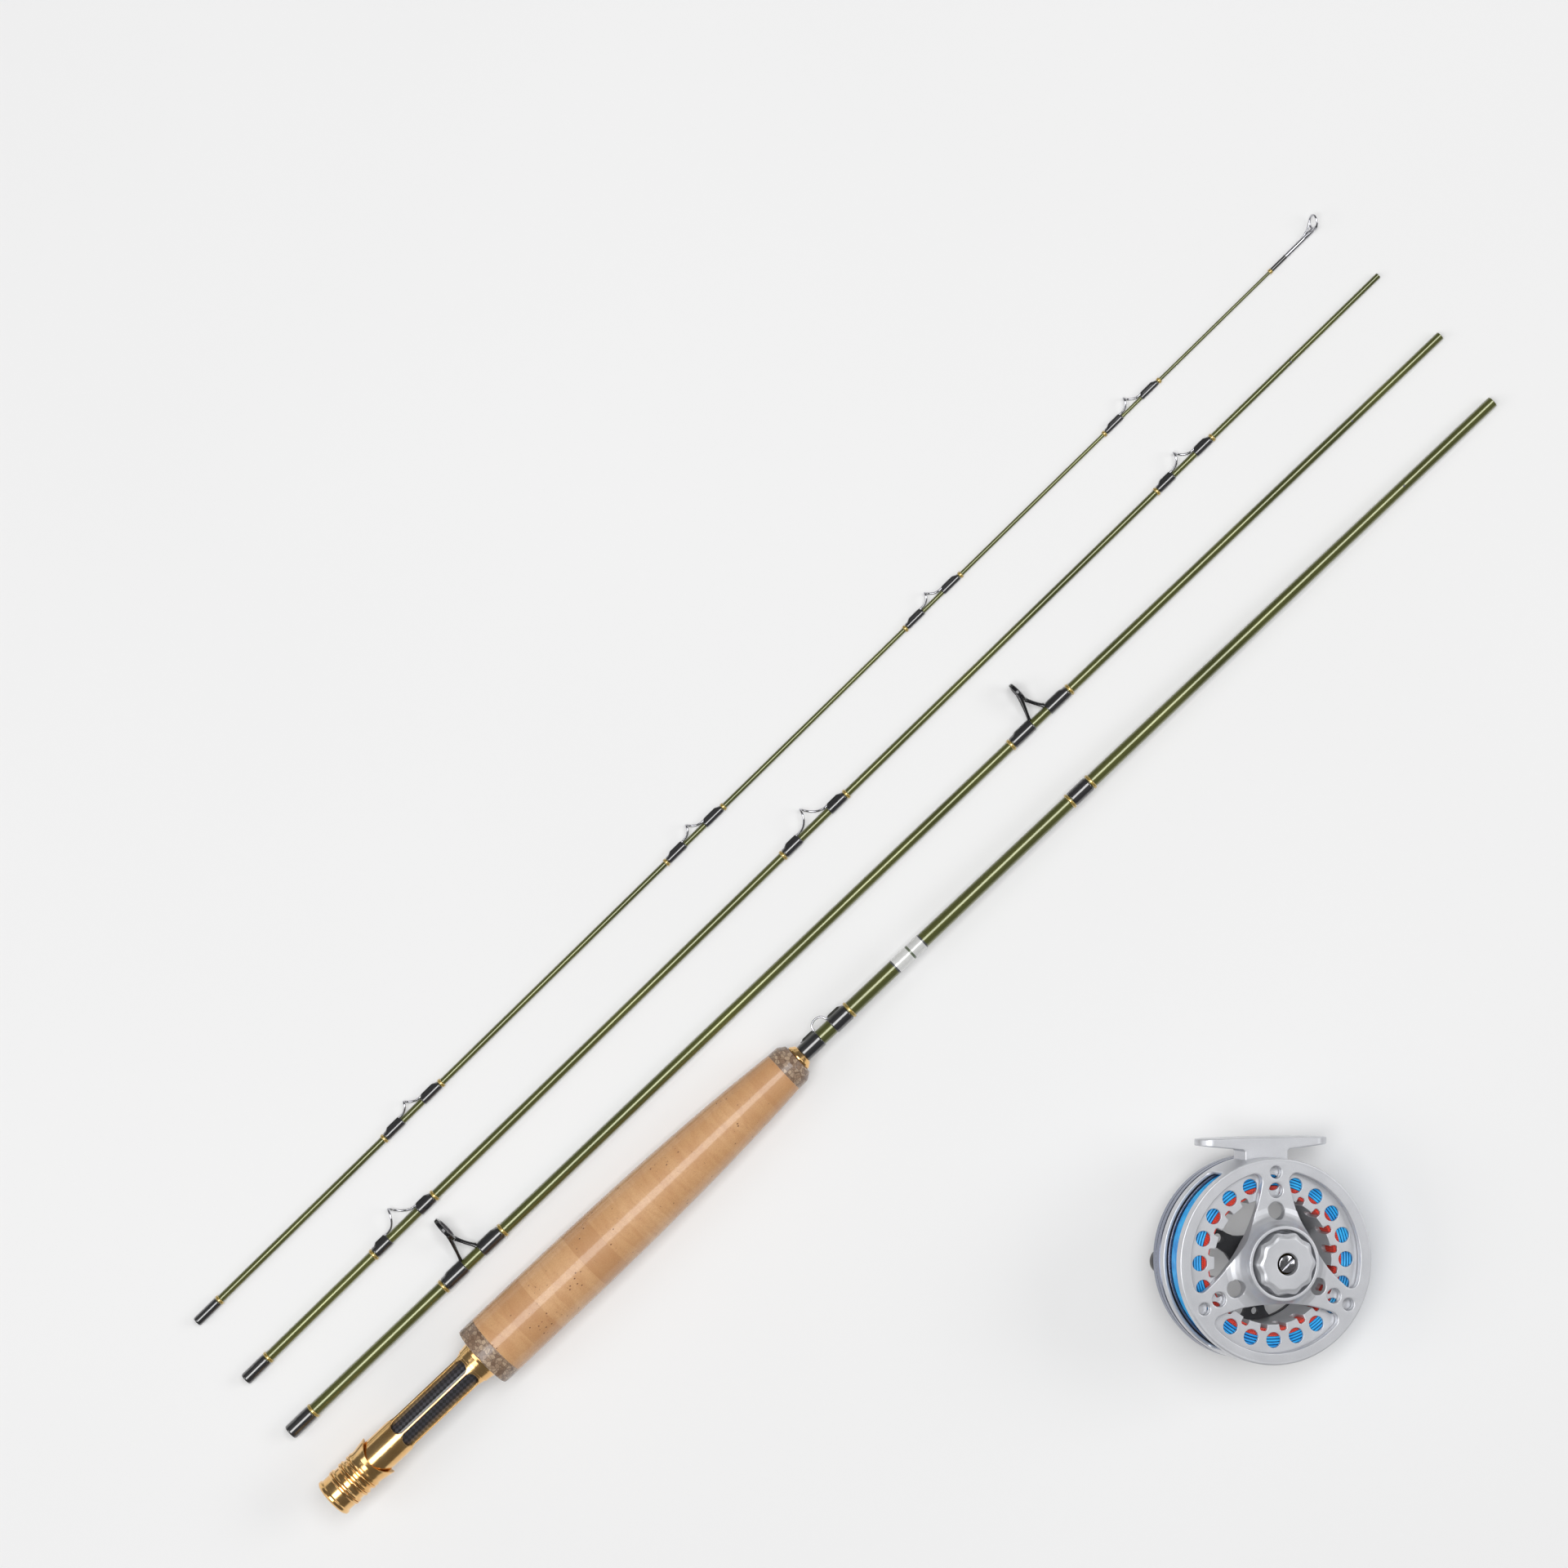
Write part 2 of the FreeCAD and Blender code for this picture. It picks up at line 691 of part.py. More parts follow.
def tip_top():
    """A tube over the end of the tip, carrying a loop of wire on two arms."""
    inner = size("tip_top_radius") + 0.02
    end = size("tip_length")
    tube = Part.makeCylinder(inner + 0.33, 14.0, Vector(end - 12.5, 0, 0), Vector(1, 0, 0))
    bore = Part.makeCylinder(inner, 12.6, Vector(end - 12.6, 0, 0), Vector(1, 0, 0))
    loop_centre = Vector(end + size("loop_reach"), size("loop_height"), 0)
    lean = math.radians(size("loop_lean"))
    radius = size("loop_radius")
    loop = Part.makeTorus(radius, size("loop_wire"), loop_centre, Vector(math.cos(lean), -math.sin(lean), 0))
    root = Vector(end - 4.0, 0.5, 0)
    arms = [strut(root + Vector(0, 0, 0.3 * side), loop_centre + Vector(-0.1, -0.2, radius * side), 0.35)
            for side in (-1, 1)]
    shape = tube.fuse([loop] + arms).cut(bore).removeSplitter()
    turned_over = Placement(Vector(), Rotation(Vector(1, 0, 0), size("loop_turn")))
    keep(shaped("tip_top", shape), "tip_top", tip.place * turned_over)


hollow_blank(section_3, "section_3_blank", 0, "thin_wall", "butt_top_radius")
stripping_section()
hollow_blank(section_2, "section_2_blank", 0, "thin_wall", "section_3_top_radius")
snake_section(section_2, "section_2", [(93.0, 17.0, 10.2, 8.4), (334.0, 16.8, 9.6, 9.2),
                                       (551.0, 12.7, 7.3, 9.0)])
hollow_blank(tip, "tip_blank", 0, "0.36", "section_2_top_radius")
snake_section(tip, "tip", [(127.0, 11.6, 6.0, 10.0), (293.0, 11.6, 6.0, 10.0), (433.0, 11.4, 5.6, 9.6),
                           (550.0, 11.1, 5.6, 9.6)])
tip_top()


# ---------------------------------------------------------------- the reel

def reel_rest():
    """The reel lies drag side up, propped on its handle: lean it, then drop it to the ground."""
    foot = size("handle_foot")
    lean = math.atan(size("handle_reach") / (size("handle_circle") - foot + size("rim_radius") - 0.6))
    height = (size("rim_radius") - 0.6) * math.sin(lean) - size("palm_far") * math.cos(lean)
    bearing = math.radians(size("handle_bearing"))
    axis = Vector(math.sin(bearing), -math.cos(bearing), 0)
    lie = Rotation(Vector(0, 0, 1), -size("rod_bearing")) * Rotation(axis, math.degrees(lean))
    base = Vector(size("layout_shift_x + reel_along"), size("layout_shift_y + reel_side"), height + 0.01)
    return Placement(base, lie)


reel_place = reel_rest()


def keep_reel(item, label):
    return keep(item, label, reel_place)


def window_lens(name, bearing):
    """One window: the disc inside the ring, less the spider's hollow side, with round corners."""
    half_angle = 60 - math.degrees(math.asin(size("spider_arm") / 2 / size("window_radius")))
    corner = (size("window_radius") * math.cos(math.radians(half_angle)),
              size("window_radius") * math.sin(math.radians(half_angle)))
    waist = size("spider_waist")
    reach = (corner[0] ** 2 + corner[1] ** 2 - waist ** 2) / (2 * (corner[0] - waist))
    height = "face_thickness + hub_rise + 0.4"
    low = "-face_thickness - 0.2"
    disc = cylinder(name + "_disc", "window_radius", height, 0, 0, low)
    side = cylinder(name + "_side", "%f" % (reach - waist), height, "%f" % reach, 0, low)
    lens = common(name + "_lens", disc, side)
    doc.recompute()
    upright = [number for number, edge in enumerate(lens.Shape.Edges, 1)
               if abs(edge.Vertexes[0].Z - edge.Vertexes[-1].Z) > size(height) - 0.01]
    rounded = doc.addObject("Part::Fillet", name)
    rounded.Base = lens
    rounded.Edges = [(number, size("window_corner"), size("window_corner")) for number in upright]
    rounded.Placement = Placement(Vector(), Rotation(Vector(0, 0, 1), bearing))
    return rounded


def reel_frame():
    """One casting: two rings joined by two broad pillars, the three-armed face and its hub."""
    shell = turned("frame_shell", [("drag_cavity", "-face_thickness"), ("recess_radius", "-face_thickness"),
                                   ("recess_radius", "-frame_depth"), ("rim_radius - 0.5", "-frame_depth"),
                                   ("rim_radius", "-frame_depth + 0.5"), ("rim_radius", "-0.6"),
                                   ("rim_radius - 0.6", 0), ("hub_radius + 3.5", 0),
                                   ("hub_radius", "hub_rise"), ("hub_recess", "hub_rise"),
                                   ("hub_recess", 1.0), ("drag_cavity", 1.0)], "Z")
    boss = ring("frame_boss", "hub_bore", "hub_radius", "-hub_drop", "-drag_floor")
    wall = ring("frame_wall", "drag_cavity", "hub_radius", "-drag_floor - 0.1", "-face_thickness + 0.1")
    return fuse("frame_body", shell, boss, wall)


def reel_frame_cuts():
    """Windows, arm holes and the two side gaps where the line leaves."""
    cuts = [window_lens("window_%d" % bearing, bearing) for bearing in (30, 150, 270)]
    for bearing in (90, 210, 330):
        for index, (circle, radius) in enumerate(((36.8, 2.5), (29.4, 3.0), (21.0, 3.6))):
            cuts.append(polar("arm_hole_%d_%d" % (bearing, index), radius,
                              "face_thickness + hub_rise + 1", circle, bearing, "-face_thickness - 0.5"))
    for side in (-1, 1):
        cuts.append(box("side_gap_%d" % (side + 1), 40, 120, "gap_far - gap_near",
                        "%d * (pillar_half + 20)" % side, 0, "-gap_far"))
    return cuts


def drag():
    """Everything on the spindle between the frame's hub and the knob."""
    clearance = "shaft_clearance"
    shaft = "spindle_radius"
    keep_reel(turned("spindle", [(0, -29.2), (shaft, -29.2), (shaft, 9.2), (0, 9.2)], "Z"), "spindle")
    keep_reel(ring("drag_cover", shaft, "drag_cavity", -0.5, 0.9), "drag_cover")
    keep_reel(ring("drag_washer", "sleeve_radius + 0.2", 11.8, "-drag_floor", -5.3), "drag_washer")
    keep_reel(turned("drive_hub", [("spindle_radius + " + clearance, -16.8), ("sleeve_radius", -16.8),
                                   ("sleeve_radius", -5.25), (11.6, -5.25), (11.6, -3.9),
                                   ("spindle_radius + " + clearance, -3.9)], "Z"), "drive_hub")
    keep_reel(ring("pressure_plate", 2.9, 11.6, -3.8, -2.7), "pressure_plate")
    keep_reel(turned("drag_spring", [(3.2, -2.7), (10.4, -1.4), (10.4, -0.6), (3.2, -1.9)], "Z"),
              "drag_spring")


def drag_knob():
    """The scalloped knob, its threaded nut and the slotted screw that keeps it on the spindle."""
    blank = turned("knob_blank", [("spindle_radius + shaft_clearance", 5.0), (9.0, 5.0), (9.0, "knob_bottom"),
                                  ("knob_radius", "knob_bottom"), ("knob_radius", "knob_top - 1.2"),
                                  ("knob_radius - 1.2", "knob_top"), (4.35, "knob_top"), (4.35, 9.4),
                                  ("spindle_radius + shaft_clearance", 9.4)], "Z")
    scallops = [polar("knob_scallop_%d" % index, 2.6, 14, 15.0, 36 * index + 18, "knob_bottom + 1.5")
                for index in range(10)]
    keep_reel(cut("drag_knob", blank, *scallops), "drag_knob")
    keep_reel(turned("drag_nut", [("spindle_radius + shaft_clearance", 1.6), (6.5, 1.6), (6.5, 4.95),
                                  ("spindle_radius + shaft_clearance", 4.95)], "Z"), "drag_nut")
    head = turned("screw_head", [(0, 9.5), (3.55, 9.5), (3.55, 11.2), (3.0, 11.7), (0, 11.7)], "Z")
    slot = box("screw_slot", 8, 1.2, 2, 0, 0, 10.9, 18)
    keep_reel(cut("drag_screw", head, slot), "drag_screw")


def click():
    """A toothed ring on the spool, a sprung pawl beside it and the pawl's leaf spring."""
    teeth = [polar("click_tooth_%d" % index, 0.7, 1.4, 10.1, 18 * index, -11.6) for index in range(20)]
    blank = ring("click_blank", 6.0, 10.3, -11.6, -10.2)
    keep_reel(cut("click_gear", blank, *teeth), "click_gear")
    pawl_place = Placement(Vector(0, 0, 0), Rotation(Vector(0, 0, 1), 300))
    arm = plate("pawl_arm", [(11.4, 0.8), (12.2, -1.6), (14.6, 0.3), (13.9, 1.6), (9.3, 7.0), (8.6, 6.3)],
                -11.5, 1.1)
    eye = cylinder("pawl_eye", 2.1, 1.1, 13.0, 0, -11.5)
    bore = cylinder("pawl_bore", 1.25, 3, 13.0, 0, -12.5)
    pawl = cut("click_pawl", fuse("pawl_solid", arm, eye), bore)
    keep(pawl, "click_pawl", reel_place * pawl_place)
    post = cylinder("pawl_post_pin", 1.2, 4.2, 13.0, 0, -12.2)
    keep(compound("pawl_post", post), "pawl_post", reel_place * pawl_place)
    leaf = plate("click_leaf", [(15.0, 2.6), (15.2, 2.8), (10.7, 8.2), (10.5, 8.0)], -11.4, 3.4)
    keep(leaf, "click_spring", reel_place * pawl_place)


def reel_foot():
    """The foot that the rod's reel seat grips: a block with two wings, held by two screws."""
    half = "foot_length / 2"
    corners = [(half, "foot_top - 0.4"), ("9.5", "foot_top"), ("-9.5", "foot_top"),
               ("-" + half, "foot_top - 0.4"), ("-" + half, "foot_top - 3.0"),
               ("-9.5", "foot_top - 4.9"), ("-9.5", "rim_radius - 2"),
               ("9.5", "rim_radius - 2"), ("9.5", "foot_top - 4.9"), (half, "foot_top - 3.0")]
    profile = plate("foot_profile", corners, "foot_centre - foot_width / 2", "foot_width")
    upright = Placement(Vector(0, 60, size("foot_centre")), Rotation(Vector(1, 0, 0), 90))
    ends = []
    for side in (-1, 1):
        end = doc.addObject("Part::Cylinder", "foot_end_%d" % (side + 1))
        bind(end, Radius="foot_width / 2", Height=30)
        shift = Vector(side * size("foot_length - foot_width") / 2, 0, 0)
        end.Placement = upright * Placement(shift, Rotation())
        ends.append(end)
    middle = doc.addObject("Part::Box", "foot_middle")
    bind(middle, Length="foot_length - foot_width", Width="foot_width", Height=30)
    middle.Placement = upright * Placement(Vector(-size("foot_length - foot_width") / 2,
                                                  -size("foot_width") / 2, 0), Rotation())
    plan = fuse("foot_plan", middle, *ends)
    saddle = cylinder("foot_saddle", "rim_radius", 60, 0, 0, -45)
    bores = [screw_shape("foot_bore_%d" % side, side, 1.55, 47.2) for side in (-5, 5)]
    keep_reel(cut("reel_foot", common("foot_block", profile, plan), saddle, *bores), "reel_foot")
    screws = [screw_shape("foot_screw_%d" % side, side, 1.5, 47.0) for side in (-5, 5)]
    keep_reel(compound("foot_screws", *screws), "foot_screws")


def screw_shape(name, offset, radius, reach):
    """A countersunk screw or its hole, standing along Y from inside the pillar."""
    start = size("recess_radius") - 0.3
    base = Vector(offset, start, size("foot_centre"))
    head = Part.makeCone(radius * 2, radius, 1.6, base, Vector(0, 1, 0))
    shank = Part.makeCylinder(radius, reach - start, base, Vector(0, 1, 0))
    return shaped(name, head.fuse(shank).removeSplitter())


def spool_bodies():
    """The spool's turned rim, flanges and arbor, its hub, spokes and the two bridges of its far side."""
    rim = turned("spool_rim", [("arbor_inner", "near_flange"), ("flange_radius", "near_flange"),
                               ("flange_radius", "near_flange - flange_thickness"),
                               ("arbor_outer", "line_near"), ("arbor_outer", "line_far"),
                               ("flange_radius", "line_far"), ("flange_radius", "palm_near"),
                               ("rim_radius - 0.6", "palm_near"), ("rim_radius", "palm_near - 0.6"),
                               ("rim_radius", "palm_near - 3.4"), ("rim_radius - 0.5", "palm_near - 3.7"),
                               ("rim_radius", "palm_near - 4.0"), ("rim_radius", "palm_far + 0.6"),
                               ("rim_radius - 0.6", "palm_far"), ("rim_radius - 3.4", "palm_far"),
                               ("flange_radius - 1.6", "palm_far + 1.8"),
                               ("flange_radius - 1.6", "line_far - flange_thickness"),
                               ("arbor_outer", "line_far - flange_thickness"),
                               ("arbor_outer", "web_far"), ("arbor_inner", "web_far")], "Z")
    hub = turned("spool_hub_body", [(3.4, "web_far"), ("spool_hub", "web_far"), ("spool_hub", -12.0),
                                    (7.05, -12.0), (7.05, -17.3), (3.4, -17.3)], "Z")
    thickness = "web_near - web_far"
    spokes = [box("spoke_%d" % bearing, "arbor_inner - 5.5", "spoke_width", thickness,
                  "(arbor_inner + 6.5) / 2", 0, "web_far", bearing) for bearing in (152, 272, 32)]
    bridges = [box("bridge_%d" % bearing, "flange_radius - arbor_inner - 1.4", 14, thickness,
                   "(flange_radius + arbor_inner) / 2 - 0.2", 0, "web_far", bearing)
               for bearing in (size("handle_bearing"), size("handle_bearing") + 180)]
    return [rim, hub] + spokes + bridges


def spool_cuts():
    """Lightening holes through both flanges, slots along the arbor and the bores in the hub."""
    count = int(size("spool_holes"))
    step = 360 / count
    cuts = [polar("flange_hole_%d" % index, "hole_radius", 18, "hole_circle", step * index, "line_far - 3.0")
            for index in range(count)]
    for index in range(count):
        cuts.append(box("arbor_slot_%d" % index, 4.4, 3.0, 9.5, 26.4, 0, -13.0, step * (index + 0.5)))
    cuts += [polar("spoke_hole_%d" % bearing, 2.3, 6, 17.5, bearing, "web_far - 1.0")
             for bearing in (32, 152, 272)]
    cuts.append(cylinder("far_bearing_bore", 5.55, 4.1, 0, 0, "web_far - 0.1"))
    cuts.append(polar("handle_pin_bore", "handle_pin", 8, "handle_circle", "handle_bearing",
                      "web_far - 1.0"))
    cuts.append(polar("counterweight_bore", 1.6, 8, "handle_circle", "(handle_bearing + 180)",
                      "web_far - 1.0"))
    return cuts


def spool_fittings():
    """What turns with the spool: bearings, clutch, cap, handle pin, counterweight and the wound line."""
    far = ring("far_bearing", "spindle_radius + 0.02", 5.5, "web_far + 0.3", "web_far + 3.3")
    near = ring("near_bearing", "spindle_radius + 0.02", 3.38, -20.6, -17.6)
    keep_reel(compound("spool_bearings", far, near), "spool_bearings")
    keep_reel(ring("one_way_clutch", "sleeve_radius + shaft_clearance", 7.0, -17.2, -12.2), "one_way_clutch")
    cap = turned("spool_cap", [(0, -31.6), (7.4, -31.6), (8.0, -31.0), (8.0, "web_far - 0.05"),
                               (3.0, "web_far - 0.05"), (3.0, -29.6), (0, -29.6)], "Z")
    keep_reel(cap, "spool_cap")
    low = "line_far + 0.05"
    high = "line_near - 0.05"
    keep_reel(ring("backing", "arbor_outer + 0.05", "backing_crown", low, high), "backing")
    keep_reel(ring("fly_line", "backing_crown", "line_crown", low, high), "fly_line")
    bearing = size("handle_bearing")
    handle = Placement(Vector(), Rotation(Vector(0, 0, 1), bearing)) * Placement(
        Vector(size("handle_circle"), 0, 0), Rotation())
    foot = "(palm_far - handle_reach)"
    pin = turned("handle_post", [(0, foot + " + 0.8"), (3.0, foot + " + 0.8"), (3.0, foot + " + 2.2"),
                                 ("handle_pin", foot + " + 2.2"), ("handle_pin", "web_near"),
                                 (0, "web_near")], "Z")
    keep(pin, "handle_post", reel_place * handle)
    bore = "handle_pin + shaft_clearance"
    knob = turned("handle_knob", [(bore, "web_far - 0.3"), (5.0, "web_far - 0.3"), (5.0, "web_far - 2.5"),
                                  (3.9, "web_far - 7"), ("handle_radius - 0.4", "web_far - 15"),
                                  ("handle_radius", "web_far - 19"), ("handle_foot", foot), (3.1, foot),
                                  (3.1, foot + " + 2.25"), (bore, foot + " + 2.25")], "Z")
    keep(knob, "handle_knob", reel_place * handle)
    opposite = Placement(Vector(), Rotation(Vector(0, 0, 1), bearing + 180)) * Placement(
        Vector(size("handle_circle"), 0, 0), Rotation())
    weight = turned("counterweight", [(0, "web_far - 2.4"), (4.6, "web_far - 2.4"), (5.2, "web_far - 1.8"),
                                      (5.2, "web_far"), (1.6, "web_far"), (1.6, "web_near + 0.4"),
                                      (0, "web_near + 0.4")], "Z")
    keep(weight, "counterweight", reel_place * opposite)


foot_holes = [screw_shape("frame_bore_%d" % side, side, 1.55, 47.2) for side in (-5, 5)]
keep_reel(cut("reel_frame", reel_frame(), *(reel_frame_cuts() + foot_holes)), "reel_frame")
reel_foot()
drag()
drag_knob()
click()
keep_reel(cut("spool", fuse("spool_solid", *spool_bodies()), *spool_cuts()), "spool")
spool_fittings()


# ---------------------------------------------------------------- check and write

doc.recompute()
for item in doc.Objects:
    for fault in ("Invalid", "Error"):
        if fault in item.State:
            raise RuntimeError("%s is %s" % (item.Label, fault))
for item in parts:
    if item.Shape.isNull() or not item.Shape.isValid():
        raise RuntimeError("%s has no valid shape" % item.Label)
    if not item.Shape.Solids:
        raise RuntimeError("%s has no solid" % item.Label)

whole = Part.makeCompound([item.Shape for item in parts]).BoundBox
print("box", round(whole.XMin, 2), round(whole.XMax, 2), round(whole.YMin, 2), round(whole.YMax, 2),
      round(whole.ZMin, 3), round(whole.ZMax, 2), "sub-parts", len(parts))

os.makedirs("parts", exist_ok=True)
for item in parts:
    item.Shape.exportStep("parts/%s.step" % item.Label)
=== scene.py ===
import json
import math
import random

import bmesh
import bpy
import numpy as np
from mathutils import Matrix, Vector


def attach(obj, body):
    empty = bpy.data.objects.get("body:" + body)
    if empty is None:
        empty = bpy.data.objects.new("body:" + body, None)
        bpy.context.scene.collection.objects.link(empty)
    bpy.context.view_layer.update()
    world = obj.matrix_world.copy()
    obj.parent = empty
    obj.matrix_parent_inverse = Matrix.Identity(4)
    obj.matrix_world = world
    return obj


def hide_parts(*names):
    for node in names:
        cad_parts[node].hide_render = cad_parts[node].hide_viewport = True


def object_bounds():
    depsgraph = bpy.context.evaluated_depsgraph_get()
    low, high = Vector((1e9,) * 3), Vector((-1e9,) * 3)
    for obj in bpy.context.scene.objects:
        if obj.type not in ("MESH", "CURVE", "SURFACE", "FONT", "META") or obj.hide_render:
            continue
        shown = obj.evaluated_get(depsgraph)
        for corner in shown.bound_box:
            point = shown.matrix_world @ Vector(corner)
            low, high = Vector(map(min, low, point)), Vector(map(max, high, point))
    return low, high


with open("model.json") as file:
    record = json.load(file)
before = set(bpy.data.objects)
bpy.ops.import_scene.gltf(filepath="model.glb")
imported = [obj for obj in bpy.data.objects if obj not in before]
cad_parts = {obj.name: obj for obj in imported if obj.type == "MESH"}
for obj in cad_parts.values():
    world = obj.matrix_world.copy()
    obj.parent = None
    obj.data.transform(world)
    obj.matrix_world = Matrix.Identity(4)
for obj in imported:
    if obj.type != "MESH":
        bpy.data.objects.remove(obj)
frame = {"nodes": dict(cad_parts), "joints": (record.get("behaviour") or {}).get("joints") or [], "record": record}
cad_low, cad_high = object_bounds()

# A four-section fly rod beside its reel. Each section and the reel has a frame of its own, read from
# the record: a section's X runs along it and its Y is the side of the line guides; the reel's Z runs
# along the spindle towards the drag knob and its Y is the side of the foot. Pieces are drawn in
# those frames, in millimetres, and sizes are measured on the CAD nodes.

MM = 0.001
TURN = 2 * math.pi
WELD = 0.0015                      # points nearer than this are one point
UPPER_ROLL = math.radians(14)      # how far the two thinnest sections are rolled about their length
LOOP_TURN = math.radians(30)       # the tip's loop is turned this much further
ROD_BEARING = math.radians(44)     # the angle of the rods across the picture
MOUNTS = {mount["name"]: mount for mount in frame["record"]["mounts"]}
OPENINGS = {room["name"]: room for room in frame["record"]["physics"]["openings"]}


# ---------------------------------------------------------------- frames and measures

def local_frame(origin, first, second, names):
    """A matrix from a local frame in millimetres to the object's; first is exact, second nearly."""
    a = Vector(first).normalized()
    b = (Vector(second) - a * a.dot(Vector(second))).normalized()
    columns = (a, b, a.cross(b)) if names == "XY" else (b.cross(a), b, a)
    rows = [[MM * column[row] for column in columns] + [origin[row]] for row in range(3)]
    return Matrix(rows + [[0, 0, 0, 1]])


def section_frame(socket, guide=None):
    """The frame of a section with a socket; its side is that of a guide's opening, or the upper roll."""
    mount = MOUNTS[socket]
    along = -Vector(mount["axis"])
    base = Vector(mount["pos_m"]) - along * (mount["dims"]["length_mm"] / 2 * MM)
    if guide:
        low, high = (Vector(corner) for corner in OPENINGS[guide]["box_m"])
        side = (low + high) / 2 - base
    else:
        side = Vector((0, math.cos(UPPER_ROLL), math.sin(UPPER_ROLL)))
    return local_frame(base, along, side, "XY")


BUTT = local_frame(MOUNTS["butt_cap_face"]["pos_m"], -Vector(MOUNTS["butt_cap_face"]["axis"]),
                   MOUNTS["reel_seat"]["axis"], "XY")
SECTION_3 = section_frame("section_3_socket", "large_guide_ring")
SECTION_2 = section_frame("section_2_socket")
TIP = section_frame("tip_socket")
SPIN = next(joint for joint in frame["joints"] if joint["name"] == "spool_spin")
SPIN_HEIGHT = -15.0                # the spool's joint is this far along the spindle in the reel's frame
REEL = local_frame(Vector(SPIN["pos_m"]) - Vector(SPIN["axis"]) * SPIN_HEIGHT * MM, SPIN["axis"],
                   MOUNTS["reel_foot_face"]["axis"], "ZY")
PLACES = {"butt_section": BUTT, "lock_ring": BUTT, "jam_ring": BUTT, "seat_hood": BUTT,
          "section_3": SECTION_3, "section_2": SECTION_2, "tip_section": TIP,
          "reel_frame": REEL, "spool": REEL, "drag_knob": REEL}      # the frame that a body is drawn in
WHITE = (1, 1, 1, 1)
BLACK = (0, 0, 0, 1)


def local_points(node, place):
    """The vertices of a CAD node in a local frame, in millimetres."""
    mesh = frame["nodes"][node].data
    points = np.empty(len(mesh.vertices) * 3)
    mesh.vertices.foreach_get("co", points)
    inverse = np.array(place.inverted())
    return points.reshape(-1, 3) @ inverse[:3, :3].T + inverse[:3, 3]


def extent(node, place):
    """Lowest and highest corner of a CAD node in a local frame."""
    points = local_points(node, place)
    return points.min(0).tolist(), points.max(0).tolist()


def heights(node, place):
    """The lowest and highest Z of a CAD node in a local frame."""
    low, high = extent(node, place)
    return low[2], high[2]


def sides_between(points, low, high):
    """The Y of the points that lie between two places along X."""
    return points[(points[:, 0] >= low) & (points[:, 0] <= high), 1]


def spans(node, place):
    """The stretches along X that the separate solids of a CAD node take."""
    mesh = frame["nodes"][node].data
    along = local_points(node, place)[:, 0]
    reach = sorted((min(along[v] for v in face.vertices), max(along[v] for v in face.vertices))
                   for face in mesh.polygons)
    merged = [list(reach[0])]
    for low, high in reach[1:]:
        if low > merged[-1][1] + 0.02:
            merged.append([low, high])
        merged[-1][1] = max(merged[-1][1], high)
    return merged


# ---------------------------------------------------------------- mesh tools

def linked(name, data):
    """A new object in the scene."""
    item = bpy.data.objects.new(name, data)
    bpy.context.scene.collection.objects.link(item)
    return item


class Piece:
    """A mesh being made in a local frame; corners carry an unrolled map in millimetres."""

    def __init__(self):
        self.points = []
        self.faces = []
        self.maps = []

    def grid(self, rows, close=False, across=1.0, along=None):
        """A tube through rows of points, each a ring; close joins the last row to the first."""
        start = len(self.points)
        count = len(rows[0])
        for row in rows:
            self.points.extend(row)
        along = along or range(len(rows) + 1)
        for i in range(len(rows) if close else len(rows) - 1):
            upper = (i + 1) % len(rows)
            low, high = along[i], along[i + 1]
            for j in range(count):
                right = (j + 1) % count
                self.faces.append((start + i * count + j, start + i * count + right,
                                   start + upper * count + right, start + upper * count + j))
                u, v = across * j / count, across * (j + 1) / count
                self.maps.append(((u, low), (v, low), (v, high), (u, high)))
        return self

    def cap(self, row):
        """A flat fan over a ring of points."""
        start = len(self.points)
        middle = start + len(row)
        self.points.extend([*row, tuple(np.mean(np.array(row), axis=0))])
        for j in range(len(row)):
            self.faces.append((start + j, start + (j + 1) % len(row), middle))
            self.maps.append(((0, 0), (0, 0), (0, 0)))
        return self

    def take(self, mesh):
        """Adds a Blender mesh that is already in the local frame."""
        start = len(self.points)
        corners = [tuple(vertex.co) for vertex in mesh.vertices]
        self.points.extend(corners)
        for face in mesh.polygons:
            self.faces.append(tuple(start + v for v in face.vertices))
            self.maps.append(tuple(corners[v][:2] for v in face.vertices))
        return self

    def show(self, name, body, slot, node=None, crease=50, paint=None, place=None):
        """Makes the object: welded, consistent faces, smooth up to a crease angle in degrees."""
        mesh = bpy.data.meshes.new(name)
        mesh.from_pydata(self.points, [], self.faces)
        layer = mesh.uv_layers.new(name="unrolled")
        layer.data.foreach_set("uv", [value for face in self.maps for corner in face for value in corner])
        work = bmesh.new()
        work.from_mesh(mesh)
        bmesh.ops.remove_doubles(work, verts=work.verts, dist=WELD)
        bmesh.ops.recalc_face_normals(work, faces=work.faces)
        work.to_mesh(mesh)
        work.free()
        mesh.transform(place or PLACES[body])
        for face in mesh.polygons:
            face.use_smooth = True
        mesh.set_sharp_from_angle(angle=math.radians(crease))
        mesh.materials.append(PAINTS[paint or slot])
        item = linked(name, mesh)
        item.modifiers.new("flat_faces_stay_flat", "WEIGHTED_NORMAL").keep_sharp = True
        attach(item, body)
        if node:
            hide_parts(node)


